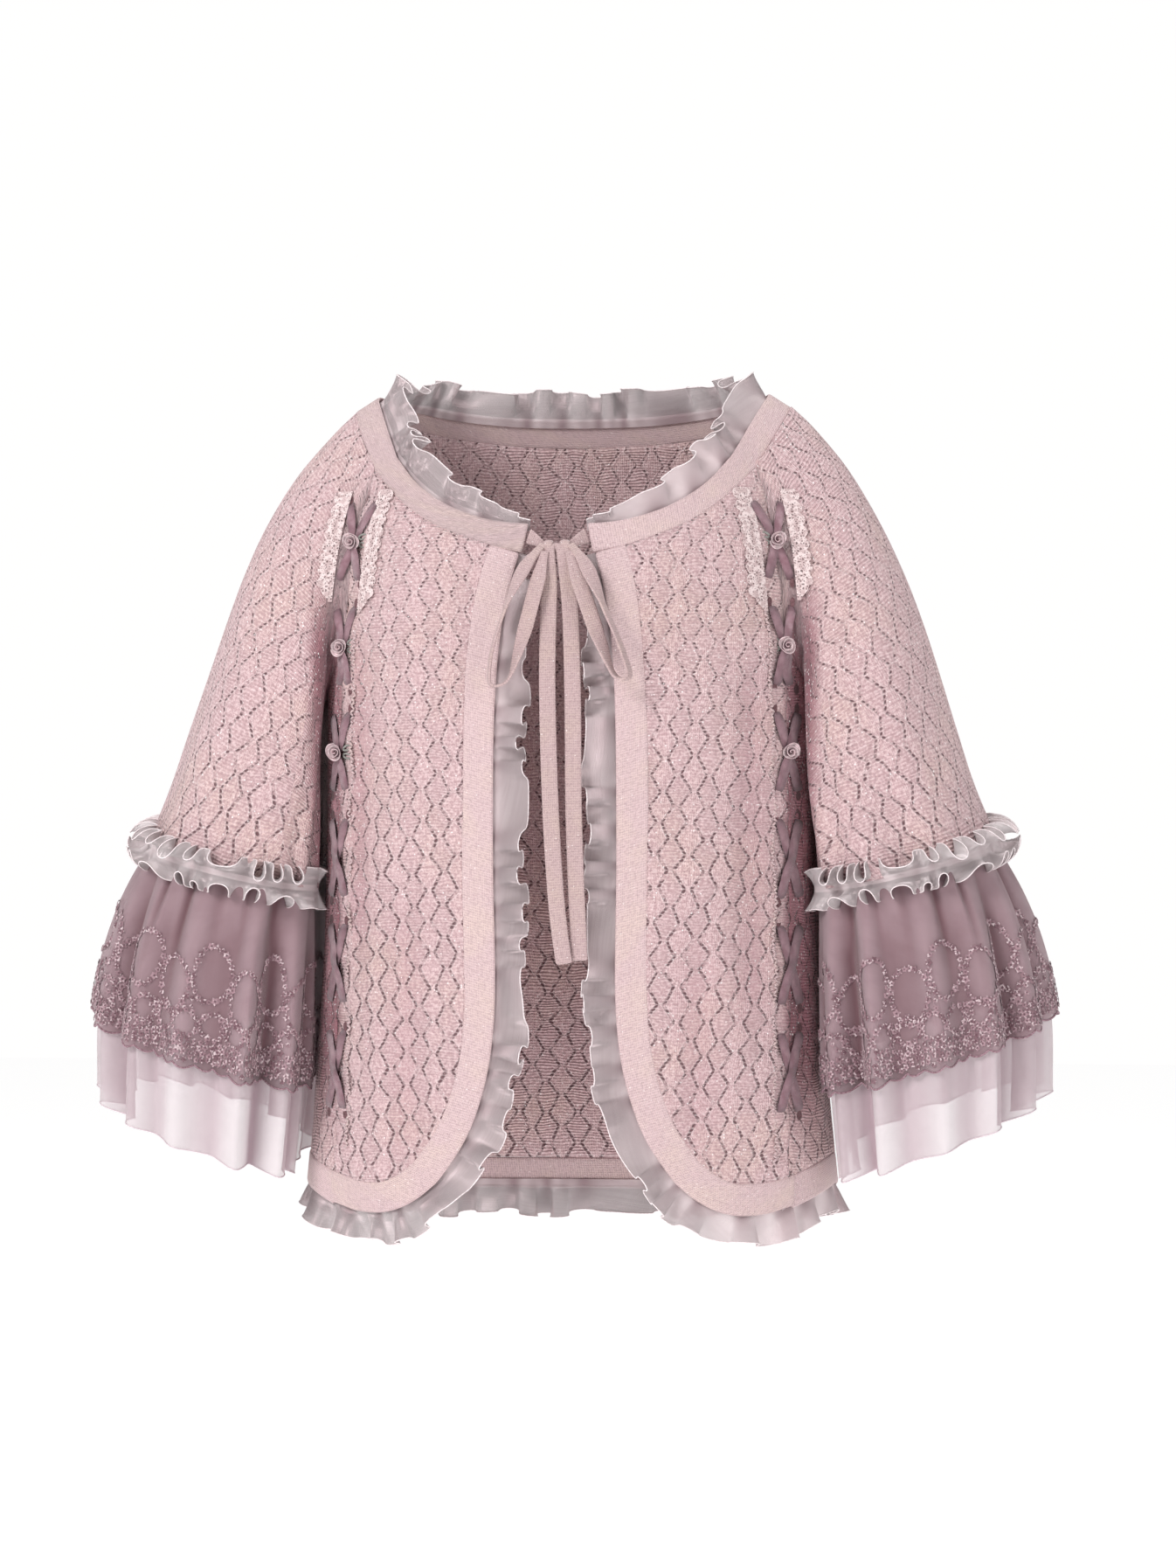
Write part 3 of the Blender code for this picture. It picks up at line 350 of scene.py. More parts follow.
def sleeveGrid(front, lower, yoke):
    shoulder = through([front[0, -1], *panels["shoulder"], yoke[0, 0]], panels["shoulderColumns"] + 1)
    seam = [front[r, -1] for r in range(panels["forkRow"] + 1)]
    seam += [lower[0, c] for c in range(1, panels["sideColumns"] + 1)]
    seam += [yoke[r, 0] for r in range(panels["yokeRows"] - 1, -1, -1)]
    seam += list(shoulder[::-1][1:-1])
    table = np.array(arm["lines"], float)
    shares = [0.0, *np.linspace(arm["seamRow"], 1.0, arm["rows"])]
    grid = np.zeros((len(shares), len(seam), 3))
    t = np.linspace(0.0, 1.0, 60)[:, None]
    for j, start in enumerate(seam):
        angle, *handle, pull = [float(tableValue(j, table[:, 0], table[:, k])) for k in range(1, 6)]
        end = clearOfBody(oval(angle, arm["centre"][0], *arm["half"], arm["slope"], 0.0), arm["clearance"])
        first, last = start + np.array(handle), end + np.array(arm["axis"]) * pull
        line = (1 - t) ** 3 * start + 3 * (1 - t) ** 2 * t * first + 3 * (1 - t) * t**2 * last + t**3 * end
        for r, share in enumerate(shares):
            reach = float(smooth(share / arm["freeFrom"]))
            grid[r, j] = clearOfBody(along(line, share), arm["clearance"], reach)
    for _ in range(arm["passes"]):
        across = (np.roll(grid, 1, axis=1) + np.roll(grid, -1, axis=1)) / 2
        down = np.zeros_like(grid)
        down[1:-1] = (grid[:-2] + grid[2:]) / 2 - grid[1:-1]
        grid[1:-1] += (arm["evenAcross"] * (across - grid) + arm["evenDown"] * down)[1:-1]
    return grid


frontFlat = frontPatch()
frontCoarse = {side: onBody(side * frontFlat[..., 0], frontFlat[..., 1]) for side in (-1, 1)}
backCoarse, yokeCoarse = backHalf()
armCoarse = sleeveGrid(frontCoarse[1], backCoarse, yokeCoarse)
print("cut worked out")


# materials

def material(name, colour, roughness, **values):
    stuff = bpy.data.materials.new(name)
    stuff.use_nodes = True
    shader = stuff.node_tree.nodes["Principled BSDF"]
    shader.inputs["Base Color"].default_value = (*colour, 1.0)
    shader.inputs["Roughness"].default_value = roughness
    for socket, value in values.items():
        shader.inputs[socket.replace("_", " ")].default_value = value
    return stuff


def fill(made, inputs):  # a socket is linked, and a value is set
    for socket, value in dict(inputs).items():
        if isinstance(value, bpy.types.NodeSocket):
            made.id_data.links.new(value, made.inputs[socket])
        else:
            made.inputs[socket].default_value = value


def node(tree, kind, inputs=(), **settings):
    made = tree.nodes.new(kind)
    for key, value in settings.items():
        setattr(made, key, value)
    fill(made, inputs)
    return made


def work(operation, *values):  # arithmetic on sockets, in the node tree that they belong to
    tree = next(value.id_data for value in values if isinstance(value, bpy.types.NodeSocket))
    return node(tree, "ShaderNodeMath", enumerate(values), operation=operation).outputs[0]


def times(a, b):
    return work("MULTIPLY", a, b)


def plus(a, b):
    return work("ADD", a, b)


def minus(a, b):
    return work("SUBTRACT", a, b)


def waves(value, length):
    return work("SINE", times(value, 2 * math.pi / length))


def weighed(*layers):  # the sum of several heights, each times its weight
    height = 0.0
    for layer, weight in layers:
        height = plus(height, times(layer, weight))
    return height


def stepped(value, low, high):  # 0 at low and 1 at high, which may be the smaller number
    return node(value.id_data, "ShaderNodeMapRange", {"Value": value, "From Min": low, "From Max": high},
                interpolation_type="SMOOTHSTEP").outputs["Result"]


def between(value, low, lowFull, highFull, high):  # 1 in the middle, and 0 below low and above high
    return times(stepped(value, low, lowFull), stepped(value, high, highFull))


def mixed(share, a, b):
    a, b = (value if isinstance(value, bpy.types.NodeSocket) else (*value, 1.0) for value in (a, b))
    return node(share.id_data, "ShaderNodeMix", {"Factor": share, 6: a, 7: b}, data_type="RGBA").outputs[2]


def layered(colour, look, *layers):  # each layer is a mask, its strength and the name of its colour
    for mask, strength, tone in layers:
        colour = mixed(times(mask, strength), colour, look[tone])
    return colour


def noiseOf(vector, scale, detail=2.0, roughness=0.5):
    return node(vector.id_data, "ShaderNodeTexNoise",
                {"Vector": vector, "Scale": scale, "Detail": detail, "Roughness": roughness}).outputs["Fac"]


def strayed(value, vector, scale, reach):  # a value moved a little to and fro by a noise
    return plus(value, times(minus(noiseOf(vector, scale), 0.5), reach))


def split(vector):
    return tuple(node(vector.id_data, "ShaderNodeSeparateXYZ", {0: vector}).outputs)


def mapOf(stuff, name):
    return node(stuff.node_tree, "ShaderNodeUVMap", uv_map=name).outputs[0]


def clothUV(stuff):
    uv = mapOf(stuff, "cloth")
    return uv, *split(uv)[:2]


def shadeOf(stuff):  # the share of painted shade, from 0 to 1, most where the cloth lies deep in a fold or a gather
    return split(mapOf(stuff, "shade"))[0]


def placeOf(stuff):
    return node(stuff.node_tree, "ShaderNodeTexCoord").outputs["Object"]


def finish(stuff, relief, height, **sockets):  # relief is the depth of the bump in metres
    bump = node(stuff.node_tree, "ShaderNodeBump", {"Strength": 1.0, "Distance": relief, "Height": height})
    sockets = {socket.replace("_", " "): value for socket, value in sockets.items()}
    fill(stuff.node_tree.nodes["Principled BSDF"], {"Normal": bump.outputs[0], **sockets})
    return stuff


def glitter(vector, scale, share, size):  # 1 on the few specks of metallic thread, whose colour is painted as bright glints
    cells = node(vector.id_data, "ShaderNodeTexVoronoi", {"Vector": vector, "Scale": scale})
    chance = split(cells.outputs["Color"])[0]
    near = work("LESS_THAN", cells.outputs["Distance"], size)
    return times(work("GREATER_THAN", chance, 1.0 - share), near)


knitLook = {
    # the colours for shade, folds, the gap beside the lacing and its deeper part are painted shade; the hole
    # colour is the painted shade seen through the eyelets; the rib colour is partly a painted highlight on
    # the raised ridges and partly a random lighter tone; glint is painted glints of the metallic thread
    "colour": (0.69, 0.495, 0.51), "warm": (0.70, 0.51, 0.48), "rib": (0.80, 0.63, 0.635),
    "shade": (0.42, 0.255, 0.27), "fold": (0.47, 0.25, 0.28), "recessShade": (0.25, 0.085, 0.11),
    "deep": (0.56, 0.235, 0.285), "hole": (0.13, 0.05, 0.06), "glint": (0.98, 0.92, 0.92), "roughness": 0.88,
    # lengths in metres on the cloth: the zigzag lines, their holes, and the texture between them
    "spacing": 0.0112, "swing": 0.0035, "repeat": 0.0225, "holesEach": 8,
    "holeWidth": 0.00080, "holeLength": 0.00084, "ridge": 0.0021, "stitch": 0.0015, "relief": 0.0006,
    "textureEdge": 0.0005, "raised": (0.0008, 0.0013, 0.0019, 0.0028), "dome": 0.0062,
    # scale and reach of the noises that make the lines and the ridges uneven
    "wander": (22.0, 0.013), "drift": (19.0, 0.012), "slant": (90.0, 0.0016),
    "fine": (900.0, 3.0), "coarse": (430.0, 3.0, 0.6), "patches": (16.0, 3.0), "faint": (210.0, 1.0),
    # heights between which the holes open, and where the painted rosy shade beside the lacing fades in and
    # out
    "opening": (-0.12, -0.40),
    "recessX": (0.151, 0.158, 0.170, 0.182), "recessY": (-0.092, -0.068, 0.0, 0.03),
    "recessZ": (-0.540, -0.450, -0.190, -0.120), "recessDeep": (-0.068, -0.050),
}


def pointelle(name, skew):  # openwork knit: zigzag lines of holes round lozenges of two textures
    look = knitLook
    stuff = material(name, look["colour"], look["roughness"], Sheen_Weight=0.2, Sheen_Roughness=0.5)
    uv, u, v = clothUV(stuff)
    x, y, z = split(placeOf(stuff))
    x = work("ABSOLUTE", x)
    u = strayed(plus(u, times(v, skew)), uv, *look["wander"])
    v = strayed(v, uv, *look["drift"])
    half, spacing, pitch = look["repeat"] / 2, look["spacing"], look["repeat"] / look["holesEach"]
    zigzag = minus(work("DIVIDE", work("PINGPONG", v, half), half / 2), 1.0)
    across = minus(work("PINGPONG", plus(u, spacing / 2), spacing), spacing / 2)
    away = minus(across, times(zigzag, look["swing"]))
    apart = work("ABSOLUTE", away)
    step = times(minus(work("FRACT", work("DIVIDE", v, pitch)), 0.5), pitch)
    wide, tall = work("DIVIDE", away, look["holeWidth"]), work("DIVIDE", step, look["holeLength"])
    stretch = plus(0.90, times(stepped(z, *look["opening"]), 0.40))
    reach = work("DIVIDE", work("SQRT", plus(times(wide, wide), times(tall, tall))), stretch)
    faint = plus(0.12, times(stepped(noiseOf(uv, *look["faint"]), 0.38, 0.56), 0.88))
    hole = times(stepped(reach, 1.3, 0.7), faint)
    ribbed = stepped(away, -look["textureEdge"], look["textureEdge"])
    slant = plus(v, times(noiseOf(uv, look["slant"][0], 1.0), look["slant"][1]))
    purl = times(waves(slant, look["ridge"]), minus(1.0, times(ribbed, 0.45)))
    rib = times(waves(u, look["stitch"]), ribbed)
    fine, coarse = noiseOf(uv, *look["fine"]), noiseOf(uv, *look["coarse"])
    raised, dome = between(apart, *look["raised"]), stepped(apart, 0.0, look["dome"])
    height = weighed((purl, 0.55), (rib, 0.25), (fine, 0.8), (coarse, 1.2), (raised, 0.7), (dome, 1.5),
                     (hole, -3.0))
    colour = mixed(stepped(noiseOf(uv, *look["patches"]), 0.42, 0.7), look["colour"], look["warm"])
    # painted highlight on the raised ridges and painted shade in the purl troughs; the noise layers vary the
    # tone at random; the shade map adds painted shade in the folds
    colour = layered(colour, look, (raised, 0.55, "rib"), (stepped(purl, -0.1, -0.7), 0.52, "shade"),
                     (stepped(coarse, 0.54, 0.40), 0.62, "shade"), (stepped(fine, 0.52, 0.34), 0.50, "shade"),
                     (stepped(coarse, 0.54, 0.68), 0.60, "rib"), (shadeOf(stuff), 0.55, "fold"))
    # painted rosy shade in the gap between the lacing and the sleeve, darker at its front and lighter further
    # back
    recessShade = times(between(y, *look["recessY"]), between(x, *look["recessX"]))
    recessShade = times(recessShade, between(z, *look["recessZ"]))
    inside = mixed(stepped(y, *look["recessDeep"]), look["recessShade"], look["deep"])
    colour = mixed(times(recessShade, 0.88), colour, inside)
    paintedShade = work("MAXIMUM", recessShade, times(shadeOf(stuff), 0.8))
    # painted glints of the metallic thread, with more of them in the painted shade beside the lacing and in
    # the folds
    spark = work("MAXIMUM", glitter(uv, 620.0, 0.035, 0.34), times(glitter(uv, 480.0, 0.16, 0.36), paintedShade))
    # the holes are painted the dark shade seen through the eyelets
    colour = layered(colour, look, (hole, 0.92, "hole"), (spark, 0.8, "glint"))
    return finish(stuff, look["relief"], height, Base_Color=colour,
                  Roughness=minus(look["roughness"], times(spark, 0.55)))


plainLook = {
    "roughness": 0.85, "row": 0.0017, "stitch": 0.0013, "relief": 0.0004, "warmer": (1.04, 1.07, 0.99),
    "fine": (1000.0, 3.0), "coarse": (480.0, 3.0, 0.6), "patches": (30.0, 3.0),
    "fold": (0.24, 0.13, 0.14), "glint": (0.95, 0.88, 0.88),
}


def fineKnit(name, colour, shade):  # plain close knit of the bands and ties
    look = {**plainLook, "shade": shade}
    stuff = material(name, colour, look["roughness"], Sheen_Weight=0.2, Sheen_Roughness=0.5)
    uv, u, v = clothUV(stuff)
    fine, coarse = noiseOf(uv, *look["fine"]), noiseOf(uv, *look["coarse"])
    texture = weighed((waves(v, look["row"]), 0.25), (waves(u, look["stitch"]), 0.2), (fine, 1.0))
    warm = tuple(part * more for part, more in zip(colour, look["warmer"]))
    spark = glitter(uv, 700.0, 0.03, 0.3)
    # painted shade in the troughs of the rows and stitches and from the shade map, random tone from the
    # noises, and painted glints
    tone = layered(mixed(stepped(noiseOf(uv, *look["patches"]), 0.4, 0.7), colour, warm), look,
                   (stepped(texture, 0.65, 0.05), 0.65, "shade"),
                   (stepped(coarse, 0.53, 0.38), 0.42, "shade"),
                   (shadeOf(stuff), 0.8, "fold"), (spark, 0.6, "glint"))
    return finish(stuff, look["relief"], plus(texture, times(coarse, 1.2)), Base_Color=tone,
                  Roughness=minus(look["roughness"], times(spark, 0.5)))


def sheer(name, colour, shade, deep, alpha, crinkle, sheen=0.3, weave=0.0006):  # chiffon and net; the deep colour is painted shade in folds and gathers
    stuff = material(name, colour, 0.62, Sheen_Weight=sheen, Sheen_Roughness=0.4)
    uv, u, v = clothUV(stuff)
    cloud, paintedShade = noiseOf(uv, 60.0, 4.0, 0.55), shadeOf(stuff)
    height = weighed((cloud, crinkle), (waves(u, weave), 0.12), (waves(v, weave), 0.12))
    tone = mixed(times(stepped(cloud, 0.6, 0.35), 0.55), colour, shade)
    cover = plus(alpha, times(paintedShade, 1.0 - alpha))  # a fold lays the cloth over itself
    # the colour is painted darker with the shade map, as painted shade in folds and gathers, and the cloth
    # covers more where a fold lays it over itself
    return finish(stuff, 0.0008, height, Base_Color=mixed(paintedShade, tone, deep), Alpha=cover)


def threadCloth(name, colour, shade, scale=700.0, roughness=0.7):  # twisted thread, cord edges and embroidery
    stuff = material(name, colour, roughness, Sheen_Weight=0.2)
    grain = noiseOf(placeOf(stuff), scale, 3.0)
    return finish(stuff, 0.0003, grain, Base_Color=mixed(stepped(grain, 0.35, 0.65), shade, colour))


stitchLook = {
    "thread": (0.4, 0.26, 0.3), "middle": (0.10, 0.04, 0.055), "darkPetal": (0.17, 0.08, 0.10),
    "petal": (0.34, 0.205, 0.235), "shine": (0.62, 0.49, 0.51),
}


def stitched(name):  # flowers with a dark middle and lighter petals, some with painted highlights
    look = stitchLook
    stuff = material(name, look["thread"], 0.45, Sheen_Weight=0.2)
    outward, paler = clothUV(stuff)[1:]
    place = placeOf(stuff)
    petal = mixed(paler, look["darkPetal"], look["petal"])
    petal = mixed(stepped(noiseOf(place, 560.0, 2.0), 0.52, 0.64), petal, look["shine"])
    colour = mixed(stepped(outward, 0.12, 0.5), look["middle"], petal)
    return finish(stuff, 0.0003, noiseOf(place, 1400.0, 3.0), Base_Color=colour)


def openLace(name, colour, shade, mesh):  # a fine net with thicker cords, open between its threads
    stuff = material(name, colour, 0.85, Sheen_Weight=0.2)
    uv = mapOf(stuff, "cloth")
    net = {"Vector": uv, "Scale": 1.0 / mesh, "Randomness": 0.8}
    cells = node(stuff.node_tree, "ShaderNodeTexVoronoi", net, feature="DISTANCE_TO_EDGE").outputs["Distance"]
    thick = noiseOf(uv, 260.0)
    thread = stepped(cells, plus(0.12, times(thick, 0.32)), 0.10)
    tone = mixed(stepped(thick, 0.4, 0.6), shade, colour)
    return finish(stuff, 0.0004, times(cells, -1.0), Base_Color=tone, Alpha=plus(times(thread, 0.8), 0.2))


def satin(name, colour, shade):
    stuff = material(name, colour, 0.33, Sheen_Weight=0.3, Anisotropic=0.4)
    uv, u, _ = clothUV(stuff)
    cloud = noiseOf(uv, 120.0, 3.0)
    tone = mixed(stepped(cloud, 0.35, 0.65), shade, colour)
    tone = mixed(shadeOf(stuff), tone, tuple(0.35 * part for part in shade))
    return finish(stuff, 0.0004, plus(times(waves(u, 0.0004), 0.15), cloud), Base_Color=tone)


cloths = {  # the slant of the knit's lines differs a little from panel to panel
    "knitLeft": pointelle("knitLeft", 0.05),
    "knitRight": pointelle("knitRight", -0.08),
    "knitBack": pointelle("knitBack", 0.0),
    "sleeveLeft": pointelle("sleeveLeft", -0.04),
    "sleeveRight": pointelle("sleeveRight", -0.08),
    "band": fineKnit("band", (0.655, 0.49, 0.50), (0.41, 0.275, 0.29)),
    # the ties and knot are a darker copy of the band's knit, painted shade for the shade they hang in
    "tie": fineKnit("tie", (0.53, 0.385, 0.385), (0.34, 0.225, 0.235)),
    "chiffon": sheer("chiffon", (0.86, 0.725, 0.74), (0.76, 0.615, 0.635), (0.40, 0.28, 0.30), 0.88, 1.0),
    # the ruffle's chiffon is painted lighter than the frills', as painted light against the shade among its
    # curls
    "ruffle": sheer("ruffle", (0.97, 0.86, 0.87), (0.90, 0.77, 0.785), (0.60, 0.46, 0.48), 0.96, 1.2),
    "mauve": sheer("mauve", (0.49, 0.325, 0.36), (0.42, 0.265, 0.30), (0.19, 0.09, 0.105), 0.74, 0.35),
    "pale": sheer("pale", (0.83, 0.69, 0.73), (0.77, 0.62, 0.665), (0.55, 0.405, 0.45), 0.56, 0.25, 0.1),
    "hemThread": threadCloth("hemThread", (0.86, 0.78, 0.785), (0.70, 0.60, 0.61)),
    "rolledHem": threadCloth("rolledHem", (0.70, 0.59, 0.63), (0.58, 0.47, 0.51)),
    "embroidery": stitched("embroidery"),
    "embroideryEdge": threadCloth("embroideryEdge", (0.36, 0.22, 0.26), (0.17, 0.08, 0.10), 900.0),
    "ribbon": satin("ribbon", (0.36, 0.205, 0.24), (0.24, 0.11, 0.14)),
    "rose": satin("rose", (0.88, 0.70, 0.715), (0.74, 0.52, 0.55)),
    "leaf": satin("leaf", (0.35, 0.345, 0.32), (0.25, 0.245, 0.22)),
    "lace": openLace("lace", (0.73, 0.60, 0.595), (0.53, 0.395, 0.395), 0.0019),
    # the slots are painted dark as the shade inside them; the rose's stitches use the same dark colour
    "slot": threadCloth("slot", (0.17, 0.08, 0.09), (0.09, 0.035, 0.04), 900.0, 0.9),
}
print("materials made")


# making pieces

weld = {"seam": 0.00002, "panels": 0.0002}


def addPiece(name, mesh, stuff, slot, standsFor=""):
    piece = bpy.data.objects.new(name, mesh)
    bpy.context.scene.collection.objects.link(piece)
    mesh.materials.append(cloths[stuff])
    mesh.shade_smooth()
    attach(piece, "root")
    if standsFor:
        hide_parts(standsFor)
    return piece


def meshFrom(bm, name):
    mesh = bpy.data.meshes.new(name)
    bm.to_mesh(mesh)
    bm.free()
    return mesh


def joined(name, meshes, distance=0.0):
    bm = bmesh.new()
    for mesh in meshes:
        bm.from_mesh(mesh)
        bpy.data.meshes.remove(mesh)
    if distance:
        bmesh.ops.remove_doubles(bm, verts=bm.verts[:], dist=distance)
    return meshFrom(bm, name)


def thicken(piece, thick, offset=0.0):
    wall = piece.modifiers.new("wall", "SOLIDIFY")
    wall.thickness, wall.offset = thick * mm, offset


def soften(piece):
    soft = piece.modifiers.new("soft", "SUBSURF")
    soft.levels = soft.render_levels = 1


def sheetMesh(name, grid, uv=None, closed=False, shade=None):  # a grid of cells, moved onto the surface
    rows, columns = grid.shape[0] - 1, grid.shape[1] - 1
    bm = bmesh.new()
    layer, dark = bm.loops.layers.uv.new("cloth"), bm.loops.layers.uv.new("shade")
    bmesh.ops.create_grid(bm, x_segments=columns, y_segments=rows, size=1.0)
    for vertex in bm.verts:
        c, r = round((vertex.co.x + 1) / 2 * columns), round((1 - vertex.co.y) / 2 * rows)
        vertex.co = grid[r, c] * mm
        vertex.index = r * (columns + 1) + c
    flatUV = (acrossAndDown(grid) if uv is None else uv).reshape(-1, 2)
    flatShade = np.clip(np.zeros(grid.shape[:2]) if shade is None else shade, 0.0, 1.0).reshape(-1)
    for face in bm.faces:
        for loop in face.loops:
            loop[layer].uv = flatUV[loop.vert.index]
            loop[dark].uv = (flatShade[loop.vert.index], 0.0)
    if closed:
        bmesh.ops.remove_doubles(bm, verts=bm.verts[:], dist=weld["seam"])
    return meshFrom(bm, name)


def sheetPiece(name, grid, stuff, slot, standsFor, thick=0.0, uv=None, closed=False, rounded=False,
               shade=None):
    piece = addPiece(name, sheetMesh(name, grid, uv, closed, shade), stuff, slot, standsFor)
    if thick:
        thicken(piece, thick)
    if rounded:
        soften(piece)
    return piece


def turnsRound(count, extra=0):
    return np.arange(count + extra) / count * 2 * math.pi


def tubeMesh(name, line, radius, closed=False, sides=6):  # a thread along a line of points, in millimetres
    line = np.asarray(line, float)
    ahead, behind = np.roll(line, -1, axis=0), np.roll(line, 1, axis=0)
    if not closed:
        ahead[-1], behind[0] = line[-1], line[0]
    tangent = unit(ahead - behind)
    side = unit(np.cross(tangent, np.array([0.13, 0.21, 1.0])))
    up = np.cross(side, tangent)
    turns = turnsRound(sides, 1)[None, :, None]
    ring = line[:, None] + radius * (side[:, None] * np.cos(turns) + up[:, None] * np.sin(turns))
    if closed:
        ring = np.concatenate([ring, ring[:1]])
    mesh = sheetMesh(name, ring, closed=True)
    bm = bmesh.new()
    bm.from_mesh(mesh)
    bmesh.ops.holes_fill(bm, edges=[edge for edge in bm.edges if edge.is_boundary], sides=0)
    bmesh.ops.recalc_face_normals(bm, faces=bm.faces[:])
    bm.to_mesh(mesh)
    bm.free()
    return mesh


def threadPiece(name, line, radius, stuff, slot, closed=False, sides=6):
    return addPiece(name, tubeMesh(name, line, radius, closed, sides), stuff, slot)


def flatSize(grid):  # the cut that a shape was gathered or hung from, in metres
    across, down = np.diff(grid, axis=1)[:-1], np.diff(grid, axis=0)[:, :-1]
    area = np.linalg.norm(np.cross(across, down), axis=2).sum() * mm * mm
    width = np.linalg.norm(np.diff(grid, axis=0), axis=2).sum(axis=0).mean() * mm
    return (float(area / width), float(width))


def waver(grid, amount, period, seed):  # slight unevenness of hanging cloth
    x, y, z = grid[..., 0], grid[..., 1], grid[..., 2]
    wave = (np.sin(x / period + seed) * np.sin(z / (1.3 * period) + 1.7 * seed)
            + 0.6 * np.sin((x + 0.7 * z) / (0.55 * period) + 2.1 * seed) * np.cos(y / period + seed))
    return amount * wave


# camera and light

camera = {"distance": 3.0, "turn": 5.5, "aim": (0.011, 0.0, -0.277), "frame": 1.1123}
turn = math.radians(camera["turn"])
lens = bpy.data.cameras.new("camera")
lens.sensor_fit = "VERTICAL"
lens.angle_y = 2 * math.atan(camera["frame"] / 2 / camera["distance"])
lens.clip_end = 50.0
eye = bpy.data.objects.new("camera", lens)
bpy.context.scene.collection.objects.link(eye)
right = Vector((math.cos(turn), math.sin(turn), 0.0))
aim = right * camera["aim"][0] + Vector((0.0, 0.0, camera["aim"][2]))
eye.location = aim + Vector((math.sin(turn), -math.cos(turn), 0.0)) * camera["distance"]
eye.rotation_euler = (math.pi / 2, 0.0, turn)
bpy.context.scene.camera = eye


# bow and ties

bow = {
    "width": 11.5, "thick": 2.0, "gather": 0.5, "gatherLength": 24.0, "knotHeight": -116.5,
    "tailStart": {"left": 0.5, "right": 0.86}, "tailLength": 34.0, "sway": (0.5, 23.0),
    # the direction across the cloth where it faces the front and where it is seen edge-on, and where it turns
    "facing": (0.94, 0.30, 0.12), "edgeOn": (0.22, 0.97, 0.0),
    "turned": ((0.0, 0), (0.10, 0), (0.24, 1), (0.58, 1), (0.74, 0), (1.0, 0)),
    "loops": {
        "left": ((-8.6, -111.5, -113.0), (-20, -120, -128), (-35, -130, -163), (-43, -134, -194),
                 (-42, -136, -210), (-32, -136, -208), (-23, -134, -185), (-14, -128, -150),
                 (-7.2, -116, -118)),
        "right": ((9.4, -111.5, -113.0), (20, -120, -126), (35, -131, -158), (48, -136, -188),
                  (52, -138, -205), (44, -138, -205), (33, -135, -182), (20, -128, -147), (9.0, -116, -118)),
    },
    "tails": {
        "left": ((-4.2, -110.5, -112.6), (-4.0, -114.6, -117.5), (-4, -122, -150), (-4, -132, -210),
                 (-1, -136.5, -300), (4, -137, -370), (8, -137, -399)),
        "right": ((4.4, -110.5, -112.4), (5.2, -114.8, -117.5), (10, -121, -150), (13, -130, -210),
                  (14, -133, -290), (16, -133.5, -350), (18, -133.5, -397)),
    },
    "tieGather": 0.42, "tieLength": 20.0, "tieStart": (20.2, -107), "tieEnd": (7.0, -108.5, 1.0),
    # centre (x, y and height over the knot), tilt, half height, half depth and width of each turn of the knot
    "wraps": ((-6.2, -108.4, 0.3, 0.8, 4.0, 3.6, 5.6), (0.0, -108.2, -0.6, 0.0, 2.7, 2.4, 11.0),
              (6.4, -108.4, 0.3, -0.8, 4.1, 3.7, 6.6)),
    "wrapThick": 1.6, "wrapBulge": 0.7, "wrapSteps": 40,
}


def strip(line, across, widths, columns=4):  # a flat tie along a line
    tangent = unit(np.gradient(line, axis=0))
    across = np.broadcast_to(np.asarray(across, float), line.shape)
    side = unit(across - tangent * np.sum(across * tangent, axis=1, keepdims=True))
    shares = np.linspace(-0.5, 0.5, columns + 1)
    return line[:, None] + side[:, None] * (shares[None, :, None] * np.asarray(widths)[:, None, None])


def widening(line, ends, start, over):  # the tie's width, drawn in near those ends that lie at the knot
    away = np.min([np.linalg.norm(line - line[end], axis=1) for end in ends], axis=0)
    return bow["width"] * (start + (1 - start) * smooth(away / over))


def tiePiece(name, grid, standsFor):
    return sheetPiece(name, grid, "tie", "band", standsFor, bow["thick"], rounded=True)


def tieCut(line):
    return (bow["width"] * mm, float(lengths(line)[-1] * mm))


for name, route in bow["tails"].items():
    line = through(route, 90)
    grid = strip(line, (1, 0, 0), widening(line, (0,), bow["tailStart"][name], bow["tailLength"]))
    grid[..., 1] += bow["sway"][0] * np.sin(line[:, None, 2] / bow["sway"][1])
    piece = tiePiece(f"tail_{name}", grid, f"tie_tail_{name}")
    tieCut(line)[1]
for name, route in bow["loops"].items():
    line = through(route, 120)
    edgeOn = np.interp(np.linspace(0.0, 1.0, len(line)), *np.array(bow["turned"]).T)[:, None]
    across = np.array(bow["facing"]) * (1 - edgeOn) + np.array(bow["edgeOn"]) * edgeOn
    grid = strip(line, flipped(across, -1 if name == "left" else 1),
                 widening(line, (0, -1), bow["gather"], bow["gatherLength"]))
    piece = tiePiece(f"loop_{name}", grid, f"bow_loop_{name}")
    tieCut(line)
print("ties made")


# knit panels

lacePull = {"reach": 17.0, "back": 20, "ripples": ((0.9, 5.85, 1), (0.5, 3.1, 2))}
knitFolds = {
    "front": (0.5, 24.0, 1.3), "back": (0.5, 30.0, 0.4), "sleeve": (1.2, 30.0, 2.2), "shade": 0.15,
    "sleeveFolds": 11, "sleeveDepth": 3.0, "sleeveFrom": 0.25,
}


def pucker(grid, side):  # the lacing draws small gathers into the cloth beside it
    x, z = np.abs(grid[..., 0]), grid[..., 2]
    near = np.exp(-((x - seamX(z)) / lacePull["reach"]) ** 2) * (grid[..., 1] < lacePull["back"])
    return near * sum(high * np.sin(z / long + shift * side) for high, long, shift in lacePull["ripples"])


